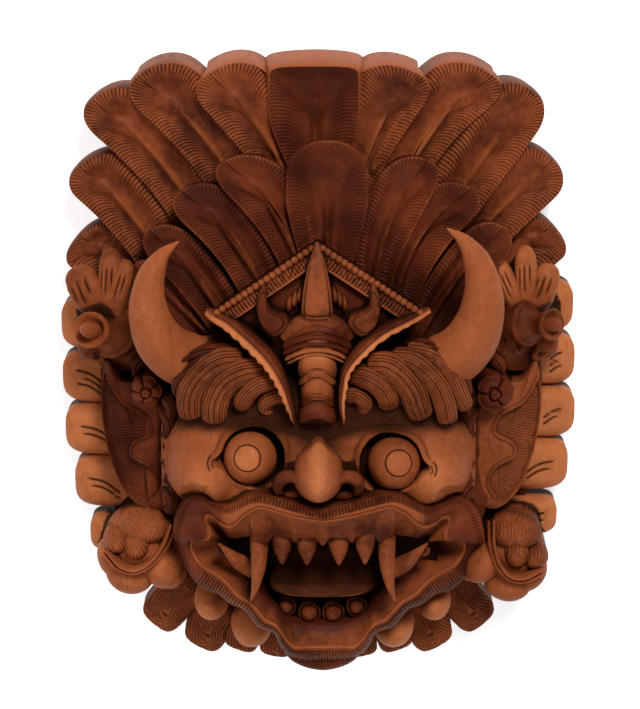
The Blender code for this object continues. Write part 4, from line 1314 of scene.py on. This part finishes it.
def makeBeard():
    piece = Piece("beard")
    b = beardShape
    for side in (-1, 1):
        for x, y, lean, z, long, half in b["feathers"]:
            turn = math.radians(lean)
            run = np.array([side * math.sin(turn), -math.cos(turn)])
            across = np.array([run[1], -run[0]])
            centre = np.array([side * x, y])
            shape = superellipse(half, long * 1.0, long * 1.4, 4.5, 4, count=120)
            edge = centre + shape[:, :1] * across + shape[:, 1:] * run

            def height(x, y, ring, centre=centre, run=run, across=across, half=half, z=z):
                u = (x - centre[0]) * across[0] + (y - centre[1]) * across[1]
                v = (x - centre[0]) * run[0] + (y - centre[1]) * run[1]
                cutAndPaintedShade = notch((u * (1 - 0.008 * v) + 0.02 * v * v) / b["ridge"], 0.32)
                return z + 6 - 3 * ring ** 8 - 0.02 * u * u - 0.9 * cutAndPaintedShade, cutAndPaintedShade

            piece.field(edge, 5, height, 30, wearAndPaintedLight=0.45)
        for reach, y, size in b["balls"]:
            piece.egg((mouth["axis"] + reach * side, y, 44), (size, size * 1.05, size + 18), 32, 22,
                      wearAndPaintedLight=1.1)
    piece.finish(wood)


makeBeard()

budShape = {"size": (29, 30, 38), "foot": 38, "left": (-127, -132, 0), "right": (135, -136, 24),
            "petals": ((15, -8, 14, 19, 10, 58), (-8, -16, 18, 15, -20, 56), (21, -19, 12, 11, 40, 46),
                       (-20, -6, 11, 15, 25, 52)),
            "collar": [(-25, 3), (-14, -6), (-2, -8), (10, -2), (19, 8), (25, 20)],
            "sepals": ((-16, 10, 10, 9, 66), (-2, 8, 10, 11, 70), (4, 20, 19, 13, 66))}


def makeBuds():
    piece = Piece("buds")
    b = budShape
    for side, (x, y, lean), bright in ((-1, b["left"], 0.75), (1, b["right"], 0.5)):
        c, s = math.cos(math.radians(lean)), math.sin(math.radians(lean))

        def place(u, v):
            # u runs towards the middle of the mask and v towards the crown
            return x - side * (u * c - v * s), y + v * c + u * s

        piece.egg((x, y, b["foot"]), b["size"], 40, 24, wearAndPaintedLight=bright)
        for u, v, wide, long, turn, z in b["petals"]:
            tilt = math.radians(turn + lean) * -side
            piece.egg((*place(u, v), z), (wide, long, 24), 32, 20, tilt=tilt, wearAndPaintedLight=bright + 0.15)
        for inset, z in ((0, 79), (2.6, 81)):
            line = [(*place(u * (1 - inset / 25), v + inset), z - 0.014 * (u * u + v * v))
                    for u, v in b["collar"]]
            piece.roll(line, [1.5] * 3, [8, 8, 8], 60, 16, wearAndPaintedLight=bright + 0.1, ends=0.05)
        for u, v, wide, long, z in b["sepals"]:
            middle = np.array(place(u, v))
            edge = superellipse(wide, long, long, 2.3, 2.3, middle, 90)

            def height(px, py, ring, middle=middle, z=z):
                sweep = (px - middle[0]) * 0.9 - (py - middle[1]) * 0.4 * side
                bend = 0.03 * (py - middle[1]) ** 2
                cutAndPaintedShade = notch((sweep + bend) / 2.3, 0.3) * smooth(ring, 0.1, 0.25)
                return z + 14 * (1 - ring ** 2.6) - 0.7 * cutAndPaintedShade, cutAndPaintedShade * 0.8

            piece.field(edge, 30, height, 20, wearAndPaintedLight=bright - 0.1)
    piece.finish(wood)


makeBuds()
print("leaves, beard and buds carved")


def blurred(values, size):
    # the mean over a square, taken along each direction in turn
    for axis in (0, 1):
        pad = [(size + 1, size) if k == axis else (0, 0) for k in (0, 1)]
        total = np.cumsum(np.pad(values, pad, mode="edge"), axis=axis)
        far = np.take(total, range(2 * size + 1, total.shape[axis]), axis=axis)
        near = np.take(total, range(total.shape[axis] - 2 * size - 1), axis=axis)
        values = (far - near) / (2 * size + 1)
    return values


# the cells heights are gathered in, the blur of the near and the wide surroundings, and for
# each of these how deep a place starts to darken and over how much more it is fully dark
shadeAndStain = {"cell": 0.9, "low": (-190, -224), "high": (188, 226), "nearBlur": 2, "wideBlur": 8,
         "near": (0.6, 5), "wide": (4, 26), "nearShare": 0.7, "crownShare": 0.25}


def shadeHollows():
    # darkens what lies lower than the carving round it: painted shade where the hollows would lie in
    # shadow, together with the old stain that gathers there
    low, high = np.array(shadeAndStain["low"], float), np.array(shadeAndStain["high"], float)
    size = ((high - low) / shadeAndStain["cell"]).astype(int) + 1
    top = np.zeros(size)
    places = []
    for piece in pieces:
        spots = np.empty(len(piece.data.vertices) * 3)
        piece.data.vertices.foreach_get("co", spots)
        spots = spots.reshape(-1, 3) / mm
        cell = np.clip(((spots[:, :2] - low) / shadeAndStain["cell"]).round().astype(int), 0, size - 1)
        places.append((spots, cell))
        np.maximum.at(top, (cell[:, 0], cell[:, 1]), spots[:, 2])
    for _ in range(6):
        # fill the cells that no place fell in
        filled = np.maximum(blurred(top, 1), top)
        top = np.where(top < 20, filled, top)
    near, wide = (blurred(blurred(top, size), size) for size in (shadeAndStain["nearBlur"], shadeAndStain["wideBlur"]))
    for piece, (spots, cell) in zip(pieces, places):
        i, j = cell.T
        (nearDeep, nearOver), (wideDeep, wideOver) = shadeAndStain["near"], shadeAndStain["wide"]
        below, farBelow = near[i, j] - spots[:, 2], wide[i, j] - spots[:, 2]
        deep = np.clip((below - nearDeep) / nearOver, 0, 1) * shadeAndStain["nearShare"]
        wideShare = 1
        if "crown" in piece.name:
            # under the tips that stand over a feather the light is left to do the work
            deep *= 1 - 0.85 * smooth(below, 4, 9)
            wideShare = shadeAndStain["crownShare"]
        # the wide term is painted shade that deepens the larger hollows
        deep = deep + wideShare * np.clip((farBelow - wideDeep) / wideOver, 0, 1)
        deep = np.clip(deep, 0, 1) * (spots[:, 2] > 3)  # not against the wall
        layer = piece.data.attributes.new("recess", "FLOAT", "POINT")
        layer.data.foreach_set("value", deep)


shadeHollows()
print("stain gathered in the hollows,", sum(len(p.data.loop_triangles) for p in pieces),
      "triangles in all")


floorLook = {"Base Color": (0.92, 0.92, 0.92, 1), "Roughness": 0.9,
             "Emission Color": (1, 1, 1, 1), "Emission Strength": 0.6}


def makeFloor():
    bm = bmesh.new()
    bmesh.ops.create_grid(bm, x_segments=1, y_segments=1, size=3)
    mesh = meshFrom(bm, "floor")
    g = Graph("paleFloor")
    for socket, value in floorLook.items():
        g.put(g.shader.inputs[socket], value)
    mesh.materials.append(g.material)
    objectFrom(mesh, "floor")


makeFloor()


# place, size, power and colour of each lamp, and the light from all round
lampAim = Vector((0, 0, 0.05))
lamps = {"key": ((0.35, 1.15, 1.45), 0.6, 27, (1, 0.98, 0.95)),
         "fill": ((-1.1, 0.0, 1.2), 0.9, 9, (1, 0.98, 0.96)),
         "low": ((0.5, -1.2, 1.2), 0.9, 9, (1, 0.98, 0.96))}
allRound = {"Color": (1, 1, 1, 1), "Strength": 0.10}

for name, (place, size, power, colour) in lamps.items():
    lamp = bpy.data.lights.new(name, "AREA")
    lamp.shape = "DISK"
    lamp.size = size
    lamp.energy = power
    lamp.color = colour
    made = objectFrom(lamp, name)
    made.location = place
    made.rotation_euler = (lampAim - Vector(place)).to_track_quat("-Z", "Y").to_euler()
scene.world = bpy.data.worlds.new("studio")
scene.world.use_nodes = True
for socket, value in allRound.items():
    scene.world.node_tree.nodes["Background"].inputs[socket].default_value = value

# tilt down from straight above in degrees; the span is how much of the scene is seen across
view = {"tilt": 14, "distance": 1.7, "aim": (0, 0.009, 0.060), "span": 0.4963,
        "sensor": 36, "shift": (0.0021, 0.0078), "nearest": 0.05}
camera = objectFrom(bpy.data.cameras.new("camera"), "camera")
tilt = math.radians(view["tilt"])
camera.location = Vector(view["aim"]) + view["distance"] * Vector((0, math.sin(tilt), math.cos(tilt)))
camera.rotation_euler = (-tilt, 0, 0)
camera.data.sensor_width = view["sensor"]
camera.data.lens = view["sensor"] * view["distance"] / view["span"]
camera.data.shift_x, camera.data.shift_y = view["shift"]
camera.data.clip_start = view["nearest"]
scene.camera = camera
scene.view_settings.view_transform = "Standard"
